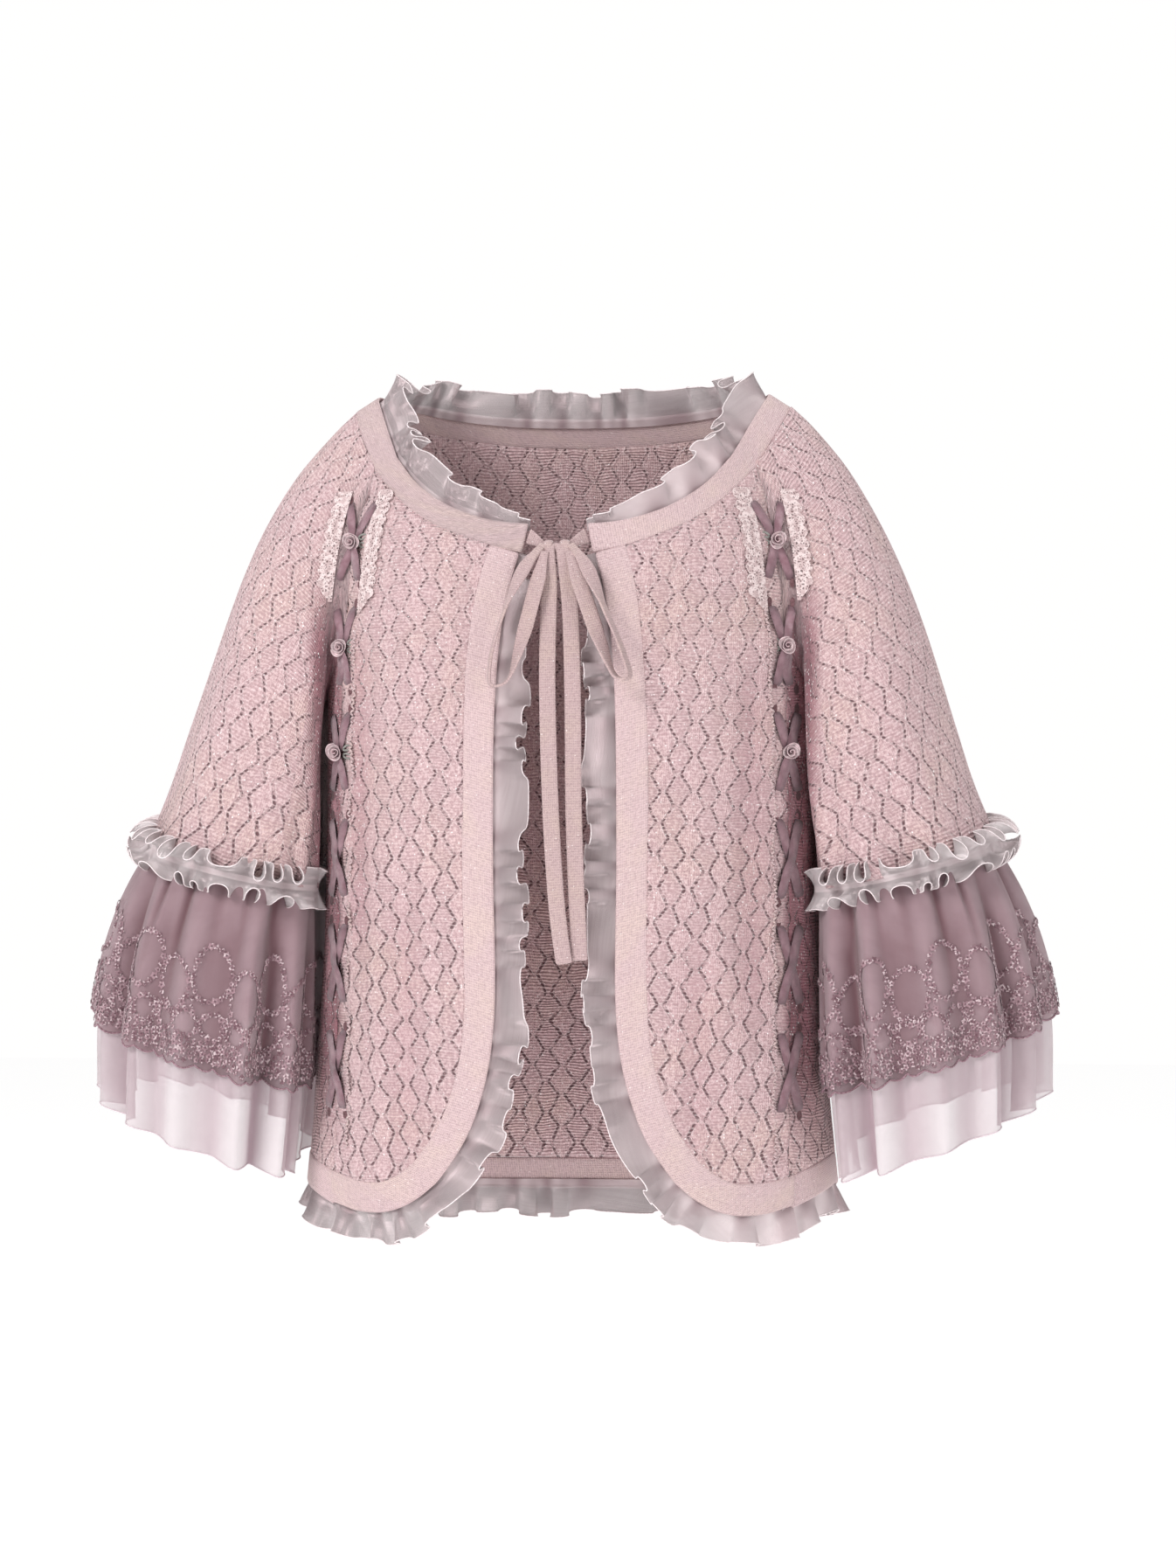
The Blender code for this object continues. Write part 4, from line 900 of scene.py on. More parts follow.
def frontPanel(name, side):
    fine = finerBothWays(frontFlat, panels["fineness"], panels["fineness"])
    grid = onBody(side * fine[..., 0], fine[..., 1])
    # dark is painted shade in the long folds of the front, deeper where the fold is deeper
    uv, dark = bodyCloth(grid), knitFolds["shade"] * foldDepth(fine[..., 0] * side, fine[..., 1])
    if side < 0:
        grid, uv, dark = grid[:, ::-1], uv[:, ::-1], dark[:, ::-1]
    amount, period, seed = knitFolds["front"]
    lift = waver(grid, amount, period, seed + side) + pucker(grid, side)
    grid = grid + normalsOf(grid) * lift[..., None]
    sheetPiece(f"frontKnit_{name}", grid, f"knit{name.capitalize()}", "knit", f"front_{name}",
                         panels["knit"], uv, shade=dark)


def backPanel(*grids):  # the panel and its yoke, welded where they meet
    meshes = [sheetMesh("backPart", grid + normalsOf(grid) * waver(grid, *knitFolds["back"])[..., None],
                        bodyCloth(grid, 0)) for grid in grids]
    piece = addPiece("backKnit", joined("backKnit", meshes, weld["panels"]), "knitBack", "knit", "back")
    thicken(piece, panels["knit"])


def sleevePanel(name, side):
    uv = acrossAndDown(armFine, panels["sleeveMiddle"])
    down = np.linspace(0.0, 1.0, armFine.shape[0])[:, None]
    turns = np.linspace(0.0, 2 * math.pi, armFine.shape[1])[None]
    gather = np.sin(knitFolds["sleeveFolds"] * turns + 1.2 * np.sin(3 * turns + side))
    gather = gather * (0.6 + 0.4 * np.sin(2 * turns + side))
    deeper = smooth((down - knitFolds["sleeveFrom"]) / (1.0 - knitFolds["sleeveFrom"]))
    amount, period, seed = knitFolds["sleeve"]
    lift = waver(armFine, amount, period, seed + side) + knitFolds["sleeveDepth"] * deeper * gather
    grid = armFine + normalsOf(armFine, True) * lift[..., None]
    if side < 0:
        grid, uv = mirrored(grid), uv[:, ::-1] * np.array([-1.0, 1.0])
    sheetPiece(f"sleeveKnit_{name}", grid, f"sleeve{name.capitalize()}", "knit", f"sleeve_{name}",
                         panels["knit"], uv, closed=True)


lowerFine, yokeFine = (finerBothWays(whole(part), panels["fineness"], panels["fineness"])
                       for part in (backCoarse, yokeCoarse))
armFine = finerBothWays(armCoarse, *panels["sleeveFineness"], True)
for name, side in bothSides:
    frontPanel(name, side)
backPanel(lowerFine, yokeFine)
for name, side in bothSides:
    sleevePanel(name, side)
print("knit panels made")


# bands

def shoulderLine():
    return through([frontCoarse[1][0, -1], *panels["shoulder"], yokeCoarse[0, 0]], 61)


def around(half):
    return np.concatenate([half, flipped(half)[::-1][1:]])


def bandPiece(name, edge, seam, standsFor, turned=False):  # a strip from its free edge to just under its seam
    shares = np.linspace(0.0, 1.06, 7)
    grid = edge[None] * (1 - shares[:, None, None]) + seam[None] * shares[:, None, None]
    if turned:
        grid = grid[::-1]
    piece = sheetPiece(name, grid, "band", "band", standsFor, panels["bandThick"],
                       acrossAndDown(grid)[..., ::-1], rounded=True)
    flatSize(grid)


topSeam = np.concatenate([onBody(*through(panels["neckFront"][:2], 11).T)[:-1],
                          onBody(*through(panels["neckFront"][1:], 41).T)[:-1],
                          shoulderLine()[:-1],
                          onBody(*through(panels["neckBack"], 41).T, face=1)])
edgeFront = onBody(*through(panels["neckFrontEdge"], 51).T)
edgeBack = onBody(*through(panels["neckBackEdge"], 41).T, face=1)
edgeShoulder = through([edgeFront[-1], *panels["shoulderEdge"], edgeBack[0]], 61)
topEdge = np.concatenate([edgeFront[:-1], edgeShoulder[:-1], edgeBack])
neckSeam, neckEdge = around(topSeam), around(topEdge)
bandPiece("neckKnit", neckEdge, neckSeam, "neckband")


def frontBandEdge(line, side):
    before, after = np.roll(line, 1, axis=0), np.roll(line, -1, axis=0)
    before[0], after[-1] = line[0], line[-1]
    tangent = unit(after - before)
    out = np.stack([tangent[:, 1], -tangent[:, 0]], axis=1)
    rows, columns = panels["frontRows"], panels["frontColumns"]
    i = np.arange(len(line)) / (len(line) - 1) * (rows + columns)
    level = smooth((i - rows - columns / 2) / (columns / 2))[:, None]
    out = unit(out * (1 - level) + np.array([0.0, -1.0]) * level)
    moved = line + out * panels["band"]
    return onBody(side * moved[:, 0], moved[:, 1])


def past(line, distance, lift=0.0):  # a line with one more point, past its end
    end = line[-1:] + unit(line[-1] - line[-2]) * distance + bodyNormal(line[-1:]) * lift
    return np.concatenate([line, end])


frontLines = {}
for name, side in bothSides:
    rim = np.concatenate([frontFlat[:, 0], frontFlat[-1, 1:]])
    rim = finer(rim, 8, 0)
    seam = onBody(side * rim[:, 0], rim[:, 1])
    frontLines[side] = [past(line, panels["overlap"], 0.7) for line in (frontBandEdge(rim, side), seam)]
    bandPiece(f"frontBandKnit_{name}", *frontLines[side], f"front_band_{name}", side < 0)


def hemEdge(point):
    x, y, z = point
    before, after = bodySize(z), bodySize(z - panels["band"])
    depth = 1 if y < 0 else 2
    return np.array([x * after[0] / before[0], y * after[depth] / before[depth], z - panels["band"]])


hemSeam = lowerFine[-1]
hemLine = np.array([hemEdge(point) for point in hemSeam])
bandPiece("hemKnit", hemSeam, hemLine, "hem_band")
print("bands made")


# chiffon frills

frills = {
    "under": 5.0, "backset": 2.4, "reach": 22.0, "wave": 6.0, "lap": 1.05, "rows": 12, "each": 22,
    "notch": 0.13, "past": 7.0, "thread": 0.45, "neckLies": (95.0, 35.0), "frontShort": 19.0,
    "curl": 1.5, "neckWaves": 26, "frontWaves": 19, "hemWaves": 20,
}


def frillGrid(line, out, inner, folds, reach, seed):
    # gathered into folds that lap over themselves more and more towards the free edge
    look = frills
    share = lengths(line) / lengths(line)[-1]
    at = np.linspace(0.0, 1.0, folds * look["each"] + 1)
    phase = 2 * math.pi * folds * at + 2.0 * np.sin(2 * math.pi * at * folds * 0.23 + seed)
    phase = phase + 1.0 * np.sin(2 * math.pi * at * folds * 0.41 + 2.0 * seed)
    uneven = 1.0 + 0.30 * np.sin(0.27 * phase + 0.6 + seed) + 0.18 * np.sin(0.61 * phase + 2.0 * seed)
    inside = (0.5 - 0.5 * np.sin(phase)) ** 1.5
    full = np.interp(at, share, reach)
    grid, shade = np.zeros((look["rows"] + 1, len(at), 3)), np.zeros((look["rows"] + 1, len(at)))
    for r in range(look["rows"] + 1):
        distance = -look["under"] + (look["reach"] + look["under"]) * r / look["rows"]
        free = min(max(distance / look["reach"], 0.0), 1.0)
        lap = look["lap"] * free ** 0.7 * np.sin(2 * phase) / (4 * math.pi * folds)
        place = np.clip(at - lap * uneven, 0.0, 1.0)
        base, away, behind = (np.stack([np.interp(place, share, values[:, k]) for k in range(3)], axis=1)
                              for values in (line, out, inner))
        length = distance + 0.0 * full
        if distance > 0:
            length = distance * (1.0 + 0.10 * np.sin(phase * 0.37 + seed)) * full
        swing = look["wave"] * (0.3 * free ** 0.5 + 0.7 * free) * np.sin(phase) * uneven
        curl = look["curl"] * free ** 4 * np.cos(phase * 0.5 + seed)
        lean = look["backset"] * (1 - 0.3 * free) + (swing + curl) * full
        short = look["notch"] * look["reach"] * free * inside * full + 0.4 * np.abs(curl)
        grid[r] = base + unit(away) * (length - short)[:, None] + unit(behind) * lean[:, None]
        # painted shade inside each fold, and near the gathered seam
        gathered = 0.45 * (1.0 - free) ** 2 * (0.5 + 0.5 * np.sin(2 * phase))
        shade[r] = 0.62 * inside * (1.0 - 0.35 * free) + gathered
    return grid, shade


def frillPiece(name, shape, standsFor, flip=False):
    grid, shade = (part[:, ::-1] for part in shape) if flip else shape
    piece = sheetPiece(name, grid, "chiffon", "chiffon", standsFor, shade=shade)
    edge = threadPiece(f"{name}Edge", grid[-1], frills["thread"], "hemThread", "chiffon")
    flatSize(grid)


def neckFrill():  # it stands at the back of the neck and lies flatter towards the shoulders and the front
    rise = np.array([0.0, 0.0, 1.0])
    lying = smooth((np.abs(neckEdge[:, 0]) - frills["neckLies"][0]) / frills["neckLies"][1])[:, None]
    out = unit(unit(neckEdge - neckSeam) + (0.9 - 0.8 * lying) * rise)
    inner = unit((neckEdge.mean(axis=0) - neckEdge) * np.array([1.0, 1.0, 0.0]) - 0.4 * rise)
    inner = inner - out * np.sum(inner * out, axis=1, keepdims=True)
    reach = smooth(0.25 + (np.abs(neckEdge[:, 0]) + np.maximum(neckEdge[:, 1], 0.0) * 9 - 20.0) / 90.0)
    frillPiece("neckFrill", frillGrid(neckEdge, out, inner, frills["neckWaves"], reach, 0.3), "frill_neck")


def frontFrill(name, side):  # shorter where it would reach the centre line
    edge, seam = frontLines[side]
    reach = np.clip((np.abs(edge[:, 0]) - frills["frontShort"]) / frills["reach"], 0.15, 1.0)
    shape = frillGrid(edge, unit(edge - seam), -bodyNormal(edge), frills["frontWaves"], reach, 1.0 + side)
    frillPiece(f"frontFrill_{name}", shape, f"frill_front_{name}", side > 0)


def hemFrill():
    edge, seam = (past(past(line, frills["past"])[::-1], frills["past"])[::-1] for line in (hemLine, hemSeam))
    shape = frillGrid(edge, unit(edge - seam), -bodyNormal(edge), frills["hemWaves"], np.ones(len(edge)), 2.0)
    frillPiece("hemFrill", shape, "frill_hem")


neckFrill()
for name, side in bothSides:
    frontFrill(name, side)
hemFrill()
print("frills made")


# sleeve ruffles and flounces

flounce = {
    "folds": 14, "each": 26, "upperRows": 24, "lowerRows": 28,
    # drop below the sleeve's end, centre, half width, half depth, slope and swing of the folds
    "table": ((0.0, 232.0, 67.0, 88.0, 0.231, 0.0), (40.0, 240.0, 74.0, 96.0, 0.25, 4.0),
              (135.0, 251.0, 81.0, 108.0, 0.296, 9.0), (197.0, 254.0, 80.0, 111.0, 0.36, 9.7)),
    "upper": 135.0, "lower": 197.0, "inset": (1.6, 7.0), "scallops": 52, "scallopDepth": 3.0,
    "gathers": 22, "gatherDepth": 5.0, "gatherWidth": 0.9, "gatherFade": 62.0,
}
flounceColumns = np.array(flounce["table"], float).T


def gatherAt(angle, drop):  # 1 in the narrow folds that run down from the gathered seam
    turn = angle * flounce["gathers"] + 1.5 * math.sin(4 * angle + 0.6) + 0.9 * math.sin(7 * angle)
    wide = flounce["gatherWidth"] * (1.0 + 0.35 * drop / flounce["upper"])
    valley = math.exp(-(((turn % (2 * math.pi)) - math.pi) / wide) ** 2)
    strength = 0.55 + 0.45 * math.sin(5.3 * angle + 0.4 * math.floor(turn / (2 * math.pi)))
    return valley * (0.2 + 0.8 * strength) * (0.10 + 0.90 * math.exp(-((drop / flounce["gatherFade"]) ** 2)))


def flounceFold(angle):  # how far the wide folds swing out, for a swing of 1
    turn = angle * flounce["folds"]
    return (1.0 + 0.3 * math.sin(angle * 3 + 0.8)) * (math.sin(turn) + 0.16 * math.sin(2 * turn + angle * 3))


def flouncePoint(angle, drop, under=False, edge=0.0):
    centre, *halves, slope, wave = [float(tableValue(drop, flounceColumns[0], c)) for c in flounceColumns[1:]]
    near, far = flounce["inset"]
    inward = near + (far - near) * drop / flounce["lower"] if under else 0.0
    turn = math.radians(angle)
    folds = flounce["gatherDepth"] * gatherAt(turn, drop) - wave * flounceFold(turn)
    inner = inward + folds * freeShare(angle % 360.0, 0.4)
    return clearOfBody(oval(angle, centre, *halves, slope, drop + edge, inner), arm["clearance"] + inner)


def flounceGrid(bottom, under, rows):
    count = flounce["folds"] * flounce["each"]
    grid, shade = np.zeros((rows + 1, count + 1, 3)), np.zeros((rows + 1, count + 1))
    for r in range(rows + 1):
        drop = 0.5 + (bottom - 0.5) * r / rows
        for c in range(count):
            scallop = flounce["scallopDepth"] * abs(math.sin(math.pi * c * flounce["scallops"] / count))
            grid[r, c] = flouncePoint(360.0 * c / count, drop, under, 0.0 if under or r < rows else scallop)
            turn = 2 * math.pi * c / count
            # painted shade in the narrow gathers, in the hollows of the wide folds, and just under the ruffle
            hollow = (0.5 - 0.38 * flounceFold(turn)) * min(drop / 50.0, 1.0)
            shadeUnderRuffle = 0.55 * math.exp(-drop / 14.0)
            shade[r, c] = 1.15 * gatherAt(turn, drop) + 0.95 * max(hollow, 0.0) ** 2 + shadeUnderRuffle
    grid[:, -1], shade[:, -1] = grid[:, 0], shade[:, 0]
    return grid, shade


ruffle = {
    "waves": 25, "each": 26, "half": 14.5, "lift": 2.2, "lean": 32.0, "swing": 46.0, "lap": 1.15, "rows": 14,
    "phase": ((1.5, 4, 0.0), (1.0, 9, 1.0), (0.5, 14, 0.0)), "thread": 0.42,
}


def ruffleFold(angle, side):  # where a point lies in its fold; the two edges curl at different places
    shifts = sum(high * math.sin(count * angle + start) for high, count, start in ruffle["phase"])
    return angle * ruffle["waves"] + shifts + (1.3 + 1.5 * math.sin(6 * angle + 0.7)) * side


def rufflePoint(angle, side):
    free, turn = abs(side), ruffleFold(angle, side)
    uneven = 0.92 + 0.20 * math.sin(7 * angle + 0.5) + 0.20 * math.sin(11 * angle + 2.0)
    lap = ruffle["lap"] * free * uneven * math.sin(2 * turn) / (2 * ruffle["waves"])
    place = math.degrees(angle - lap)
    bend = math.radians(ruffle["lean"] + ruffle["swing"] * min(uneven, 1.15) * math.sin(turn))
    bend = bend * free ** 0.5 * freeShare(place % 360.0, 0.3)
    flare = ruffle["lift"] + ruffle["half"] * free * math.sin(bend)
    point = oval(place, arm["centre"][0], *arm["half"], arm["slope"], 0.0, -flare)
    point = clearOfBody(point, arm["clearance"] - flare)
    axis = unit(np.array([arm["axis"][0] * freeShare(place % 360.0, 0.0), 0.0, arm["axis"][2]]))
    return point + axis * ruffle["half"] * side * math.cos(bend)


def ruffleGrid():  # gathered along its middle, so that both free edges curl out and lap into folds
    count, rows = ruffle["waves"] * ruffle["each"], ruffle["rows"]
    grid, shade = np.zeros((rows + 1, count + 1, 3)), np.zeros((rows + 1, count + 1))
    for r in range(rows + 1):
        side = 1.0 - 2.0 * r / rows
        free = abs(side)
        for c in range(count + 1):
            angle = 2 * math.pi * (c % count) / count
            # painted shade along the gathered middle and in the hollows of the folds
            hollow = (0.5 - 0.5 * math.sin(ruffleFold(angle, side))) ** 2
            grid[r, c] = rufflePoint(angle, side)
            shade[r, c] = 0.30 * (1.0 - free) ** 2 + 0.40 * hollow * (1.0 - 0.6 * free)
    return grid, shade


upperShape = flounceGrid(flounce["upper"], False, flounce["upperRows"])
lowerShape = flounceGrid(flounce["lower"], True, flounce["lowerRows"])
gatheredParts = (  # name, shape, cloth, slot, node, and the thread of its hem with its radius
    ("upperFlounce", upperShape, "mauve", "mauve", "flounce_upper", None),
    ("lowerFlounce", lowerShape, "pale", "pale", "flounce_lower", ("rolledHem", 0.5)),
    ("sleeveRuffle", ruffleGrid(), "ruffle", "chiffon", "ruffle", ("hemThread", ruffle["thread"])),
)


def gatheredPiece(name, side, part, shape, stuff, slot, standsFor, thread):
    grid, shade = shape
    uv = acrossAndDown(grid)
    shown = flipped(grid, side)
    if side > 0:
        shown, uv, shade = shown[:, ::-1], uv[:, ::-1], shade[:, ::-1]
    piece = sheetPiece(f"{part}_{name}", shown, stuff, slot, f"{standsFor}_{name}", uv=uv, closed=True,
                       shade=shade)
    if thread:
        threadPiece(f"{part}Hem_{name}", shown[-1, :-1], thread[1], thread[0], slot, True)
    if part == "sleeveRuffle":
        threadPiece(f"{part}Top_{name}", shown[0, :-1], thread[1], thread[0], slot, True)
    flatSize(grid)


for name, side in bothSides:
    for part in gatheredParts:
        gatheredPiece(name, side, *part)
print("flounces made")


# trims laid on the cloth

def clothUnder(grids):
    points, faces = [], []
    for grid in grids:
        rows, columns = grid.shape[:2]
        index = len(points) + np.arange(rows * columns).reshape(rows, columns)
        points += [Vector(point) for point in grid.reshape(-1, 3)]
        corners = np.stack([index[:-1, :-1], index[1:, :-1], index[1:, 1:], index[:-1, 1:]], axis=2)
        faces += corners.reshape(-1, 4).tolist()
    return BVHTree.FromPolygons(points, faces)


def laid(surface, x, z, lift):  # the point of the cloth that shows there from the front, lifted off it
    point = onBody(x, z)
    hit = surface.ray_cast(Vector((x, -200.0, z)), Vector((0, 1, 0)), 200.0)[0]
    if hit is not None:
        point = np.array(hit)
    point = point + unit(bodyNormal(point) + np.array([0.0, -1.0, 0.0])) * lift
    for _ in range(6 if lift > 0.5 else 0):
        near = np.array(surface.find_nearest(Vector(point))[0])
        distance = np.linalg.norm(point - near)
        if distance < lift:
            point = near + (point - near) * lift / distance
    return point


lacing = {
    "width": 5.6, "pitch": 73.5, "first": -108.0, "crossings": 6, "reach": 31.0, "lift": 2.6, "over": 2.2,
    "sunk": -2.2, "rows": 22, "columns": 4,
    # how far the ribbons spread to each side at the top and the bottom of each crossing
    "spread": ((11.0, 8.6), (7.6, 7.2), (7.6, 7.0), (7.2, 7.0), (7.0, 7.0), (7.0, 7.0)),
    "fork": (-198.0, 20.0), "underSleeve": -170.0, "room": 8.0, "slot": (1.6, 3.4, 0.95), "slotRoom": 6.5,
}


def crossings():  # the height of each crossing, and how far it spreads at its top and bottom
    for k in range(lacing["crossings"]):
        yield lacing["first"] - k * lacing["pitch"], *lacing["spread"][k]


def crossedRibbon(surface, side, z, top, bottom, sign, over):  # one ribbon of a crossing, from slot to slot
    look, rows, columns = lacing, lacing["rows"], lacing["columns"]
    grid = np.zeros((rows + 1, columns + 1, 3))
    slope = sign * (top + bottom) / (2.0 * look["reach"])
    for r in range(rows + 1):
        t = r / rows
        height = z + look["reach"] * (1.0 - 2.0 * t)
        room = look["room"] * (1.0 - math.exp(-(((height - look["fork"][0]) / look["fork"][1]) ** 2)))
        swing = sign * (top if t < 0.5 else bottom) * (1.0 - 2.0 * t)
        centre = seamX(height) + min(swing, room if height < look["underSleeve"] else 20.0)
        ends = min(t, 1.0 - t) * 2.0 * look["reach"]
        lift = look["sunk"] + (look["lift"] - look["sunk"]) * smooth(ends / 7.0)
        lift = lift + over * math.exp(-(((height - z) / 8.0) ** 2))
        pinch = 0.62 + 0.38 * smooth(ends / 9.0) - 0.16 * math.exp(-(((height - z) / 6.0) ** 2))
        for c in range(columns + 1):
            way = (c / columns - 0.5) * look["width"] * pinch
            crown = 0.5 * math.cos(math.pi * (c / columns - 0.5)) + 0.25 * math.sin(height / 2.3 + c)
            grid[r, c] = laid(surface, side * (centre + way), height - way * slope, lift + crown)
    return grid if side > 0 else grid[:, ::-1]


def lacingPieces(surface, name, side):
    ends = np.abs(np.linspace(-1.0, 1.0, lacing["rows"] + 1))[:, None]
    sides = np.abs(np.linspace(-1.0, 1.0, lacing["columns"] + 1))[None]
    # painted shade at the ribbon's ends, where it dips into the slots, along its edges, and at the crossing
    # under the rose
    shade = 0.85 * smooth((ends - 0.55) / 0.45) + 0.35 * sides ** 3 + 0.5 * np.exp(-((ends / 0.14) ** 2))
    for layer, sign, over in (("Under", -1, 0.0), ("Over", 1, lacing["over"])):
        grids = [crossedRibbon(surface, side, *crossing, sign, over) for crossing in crossings()]
        mesh = joined(f"lacing{layer}_{name}", [sheetMesh("strip", grid, shade=shade) for grid in grids])
        addPiece(f"lacing{layer}_{name}", mesh, "ribbon", "ribbon", f"ribbon_{layer.lower()}_{name}")
    return grids


def slotPatch(surface, x, z, wide, tall, lift, count=20):  # a small upright oval on the cloth, painted dark as the shade inside a slot
    ring = [laid(surface, x + wide * math.cos(t), z + tall * math.sin(t), lift) for t in turnsRound(count)]
    bm = bmesh.new()
    layer = bm.loops.layers.uv.new("cloth")
    centre = bm.verts.new(np.mean(ring, axis=0) * mm)
    rim = [bm.verts.new(point * mm) for point in ring]
    for i, vertex in enumerate(rim):
        face = bm.faces.new((centre, vertex, rim[(i + 1) % count]))
        for loop in face.loops:
            loop[layer].uv = (loop.vert.co.x, loop.vert.co.z)
    return meshFrom(bm, "slot")


def slotPiece(surface, name, side):  # four slots for each crossing
    slots = []
    for z, top, bottom in crossings():
        for reach, spread in ((lacing["reach"], top), (-lacing["reach"], bottom)):
            height = z + reach * 0.97
            for swing in (spread, -spread):
                if height <= lacing["underSleeve"]:
                    swing = min(swing, lacing["slotRoom"])
                slots.append(slotPatch(surface, side * (seamX(height) + swing), height, *lacing["slot"]))
    addPiece(f"slots_{name}", joined(f"slots_{name}", slots), "slot", "knit")


lace = {
    # distances from the seam and heights, of the lace beside the fronts and of that beside the sleeves
    "Front": (-9.5, -21.5, -72.0, -158.0), "Sleeve": (10.5, 23.0, -72.0, -150.0),
    "scallop": 8.6, "scallopDepth": 3.2, "taper": 13.0, "lift": 2.3, "columns": 8, "rowHeight": 1.4,
}
seamCord = {"from": -158.0, "to": -539.0, "step": 0.9, "away": 9.5, "radius": 0.85, "lift": 1.2}


def laceGrid(surface, side, near, far, top, bottom):
    count, columns = int((top - bottom) / lace["rowHeight"]), lace["columns"]
    grid = np.zeros((count + 1, columns + 1, 3))
    for r, z in enumerate(np.linspace(top, bottom, count + 1)):
        notch = 1.0 - abs(math.sin(math.pi * (z - top) / lace["scallop"])) ** 0.6
        edge = far - lace["scallopDepth"] * np.sign(far - near) * notch
        edge = near + (edge - near) * (0.25 + 0.75 * float(smooth((z - bottom) / lace["taper"])))
        for c, distance in enumerate(np.linspace(near, edge, columns + 1)):
            ripple = 0.5 * math.sin(z / 4.1) * c / columns
            grid[r, c] = laid(surface, side * (seamX(z) + distance), z, lace["lift"] + ripple)
    uv = acrossAndDown(grid)
    if side * (far - near) < 0:
        grid, uv = grid[:, ::-1], uv[:, ::-1]
    return grid, uv


def lacePiece(surface, name, side, part):
    grid, uv = laceGrid(surface, side, *lace[part])
    piece = sheetPiece(f"lace{part}_{name}", grid, "lace", "lace", f"lace_{part.lower()}_{name}", uv=uv)
    flatSize(grid)


def seamCordPiece(surface, name, side):  # a wavy knit cord beside the front seam, below the lace
    look = seamCord
    heights = np.linspace(look["from"], look["to"], int((look["from"] - look["to"]) / look["step"]))
    line = []
    for z in heights:
        x = seamX(z) - look["away"] - 1.1 * math.sin(z * 1.25) - 1.0 * math.sin(z / 9.0)
        line.append(laid(surface, side * x, z, look["lift"] + 0.5 * math.sin(z / 6.0)))
    threadPiece(f"picot_{name}", line, look["radius"], "band", "knit")


rose = {
    "count": 3, "radius": 6.9, "heart": 0.45, "height": 3.6, "turns": 2.7, "steps": 84, "rows": 5,
    "turn": 0.3, "lift": 1.2, "thick": 0.45,
    "leaf": (3.1, 1.6), "leafReach": 9.0, "leafAngles": (0.35, -0.3), "leafSunk": 1.5, "leafRadius": 0.75,
    "thread": 7.5, "threadApart": 1.2, "threadSunk": 2.6, "threadRadius": 0.55,
}


def roseFrame(crossing, side):
    normal = unit(np.array([side * rose["turn"], -1.0, 0.0]))
    centre = crossing + normal * rose["lift"]
    right = unit(np.cross(normal, np.array([0.0, 0.0, 1.0])))
    return centre, normal, right, np.cross(right, normal)


def roseGrid(place, seed):  # a ribbon rolled into a spiral, with its outer turns opened like petals
    centre, normal, right, up = place
    rows, columns = rose["rows"], rose["steps"]
    grid = np.zeros((rows + 1, columns + 1, 3))
    for c in range(columns + 1):
        t = c / columns
        angle = 2 * math.pi * rose["turns"] * t + seed
        opened = rose["heart"] + (rose["radius"] - rose["heart"]) * t ** 0.85
        for r in range(rows + 1):
            w = r / rows
            petal = 1.0 + (0.10 * t + 0.03) * math.sin(2.5 * angle + seed) * w
            radius = opened * (0.62 + 0.38 * w ** 0.7) * petal
            height = rose["height"] * (w * (1.0 - 0.45 * t) + 0.10 * w * math.sin(2.5 * angle + 1.0))
            point = centre + (right * math.cos(angle) + up * math.sin(angle)) * radius
            grid[rows - r, c] = point + normal * height
    return grid


def leafMeshes(name, place, side):  # two small leaves beside a rose, towards the front
    centre, normal, right, up = place
    inward = -side * np.sign(right[0])
    wide, tall = rose["leaf"]
    turns = turnsRound(18)[:, None]
    for angle in rose["leafAngles"]:
        middle = centre + (right * inward * math.cos(angle) + up * math.sin(angle)) * rose["leafReach"]
        away = unit(middle - centre)
        across = np.cross(normal, away)
        middle = middle - normal * rose["leafSunk"]
        line = middle + away * (wide * np.cos(turns)) + across * (tall * np.sin(turns))
        yield tubeMesh(f"leaf_{name}", line, rose["leafRadius"], True, 5)


def threadMeshes(name, place):  # the thread ends that hold a rose
    centre, normal, right, up = place
    for way in (-1, 1):
        start = centre + up * rose["threadApart"] * way - right * rose["thread"]
        line = np.linspace(start, start + right * 2 * rose["thread"], 10) - normal * rose["threadSunk"]
        yield tubeMesh(f"stitch_{name}", line, rose["threadRadius"], False, 5)


def rosePieces(name, side, ribbons):
    leaves, stitches = [], []
    for k in range(rose["count"]):
        place = roseFrame(ribbons[k][lacing["rows"] // 2, lacing["columns"] // 2], side)
        sheetPiece(f"rose_{name}_{k + 1}_ribbon", roseGrid(place, 0.7 + 1.9 * k + side), "rose", "rose",
                   f"rose_{name}_{k + 1}", rose["thick"], rounded=True)
        leaves += leafMeshes(f"{name}_{k}", place, side)
        stitches += threadMeshes(f"{name}_{k}", place)
    addPiece(f"leaves_{name}", joined(f"leaves_{name}", leaves), "leaf", "rose")
    addPiece(f"stitches_{name}", joined(f"stitches_{name}", stitches), "slot", "rose")


for name, side in bothSides:
    flatFront = finerBothWays(frontFlat, 4, 4)
    front = onBody(side * flatFront[..., 0], flatFront[..., 1])
    surface = clothUnder([front, lowerFine, flipped(armFine, side)])
    ribbons = lacingPieces(surface, name, side)
    slotPiece(surface, name, side)
    lacePiece(surface, name, side, "Front")
    seamCordPiece(surface, name, side)
    lacePiece(surface, name, side, "Sleeve")
    rosePieces(name, side, ribbons)
print("lacing made")


# embroidery on the upper flounces

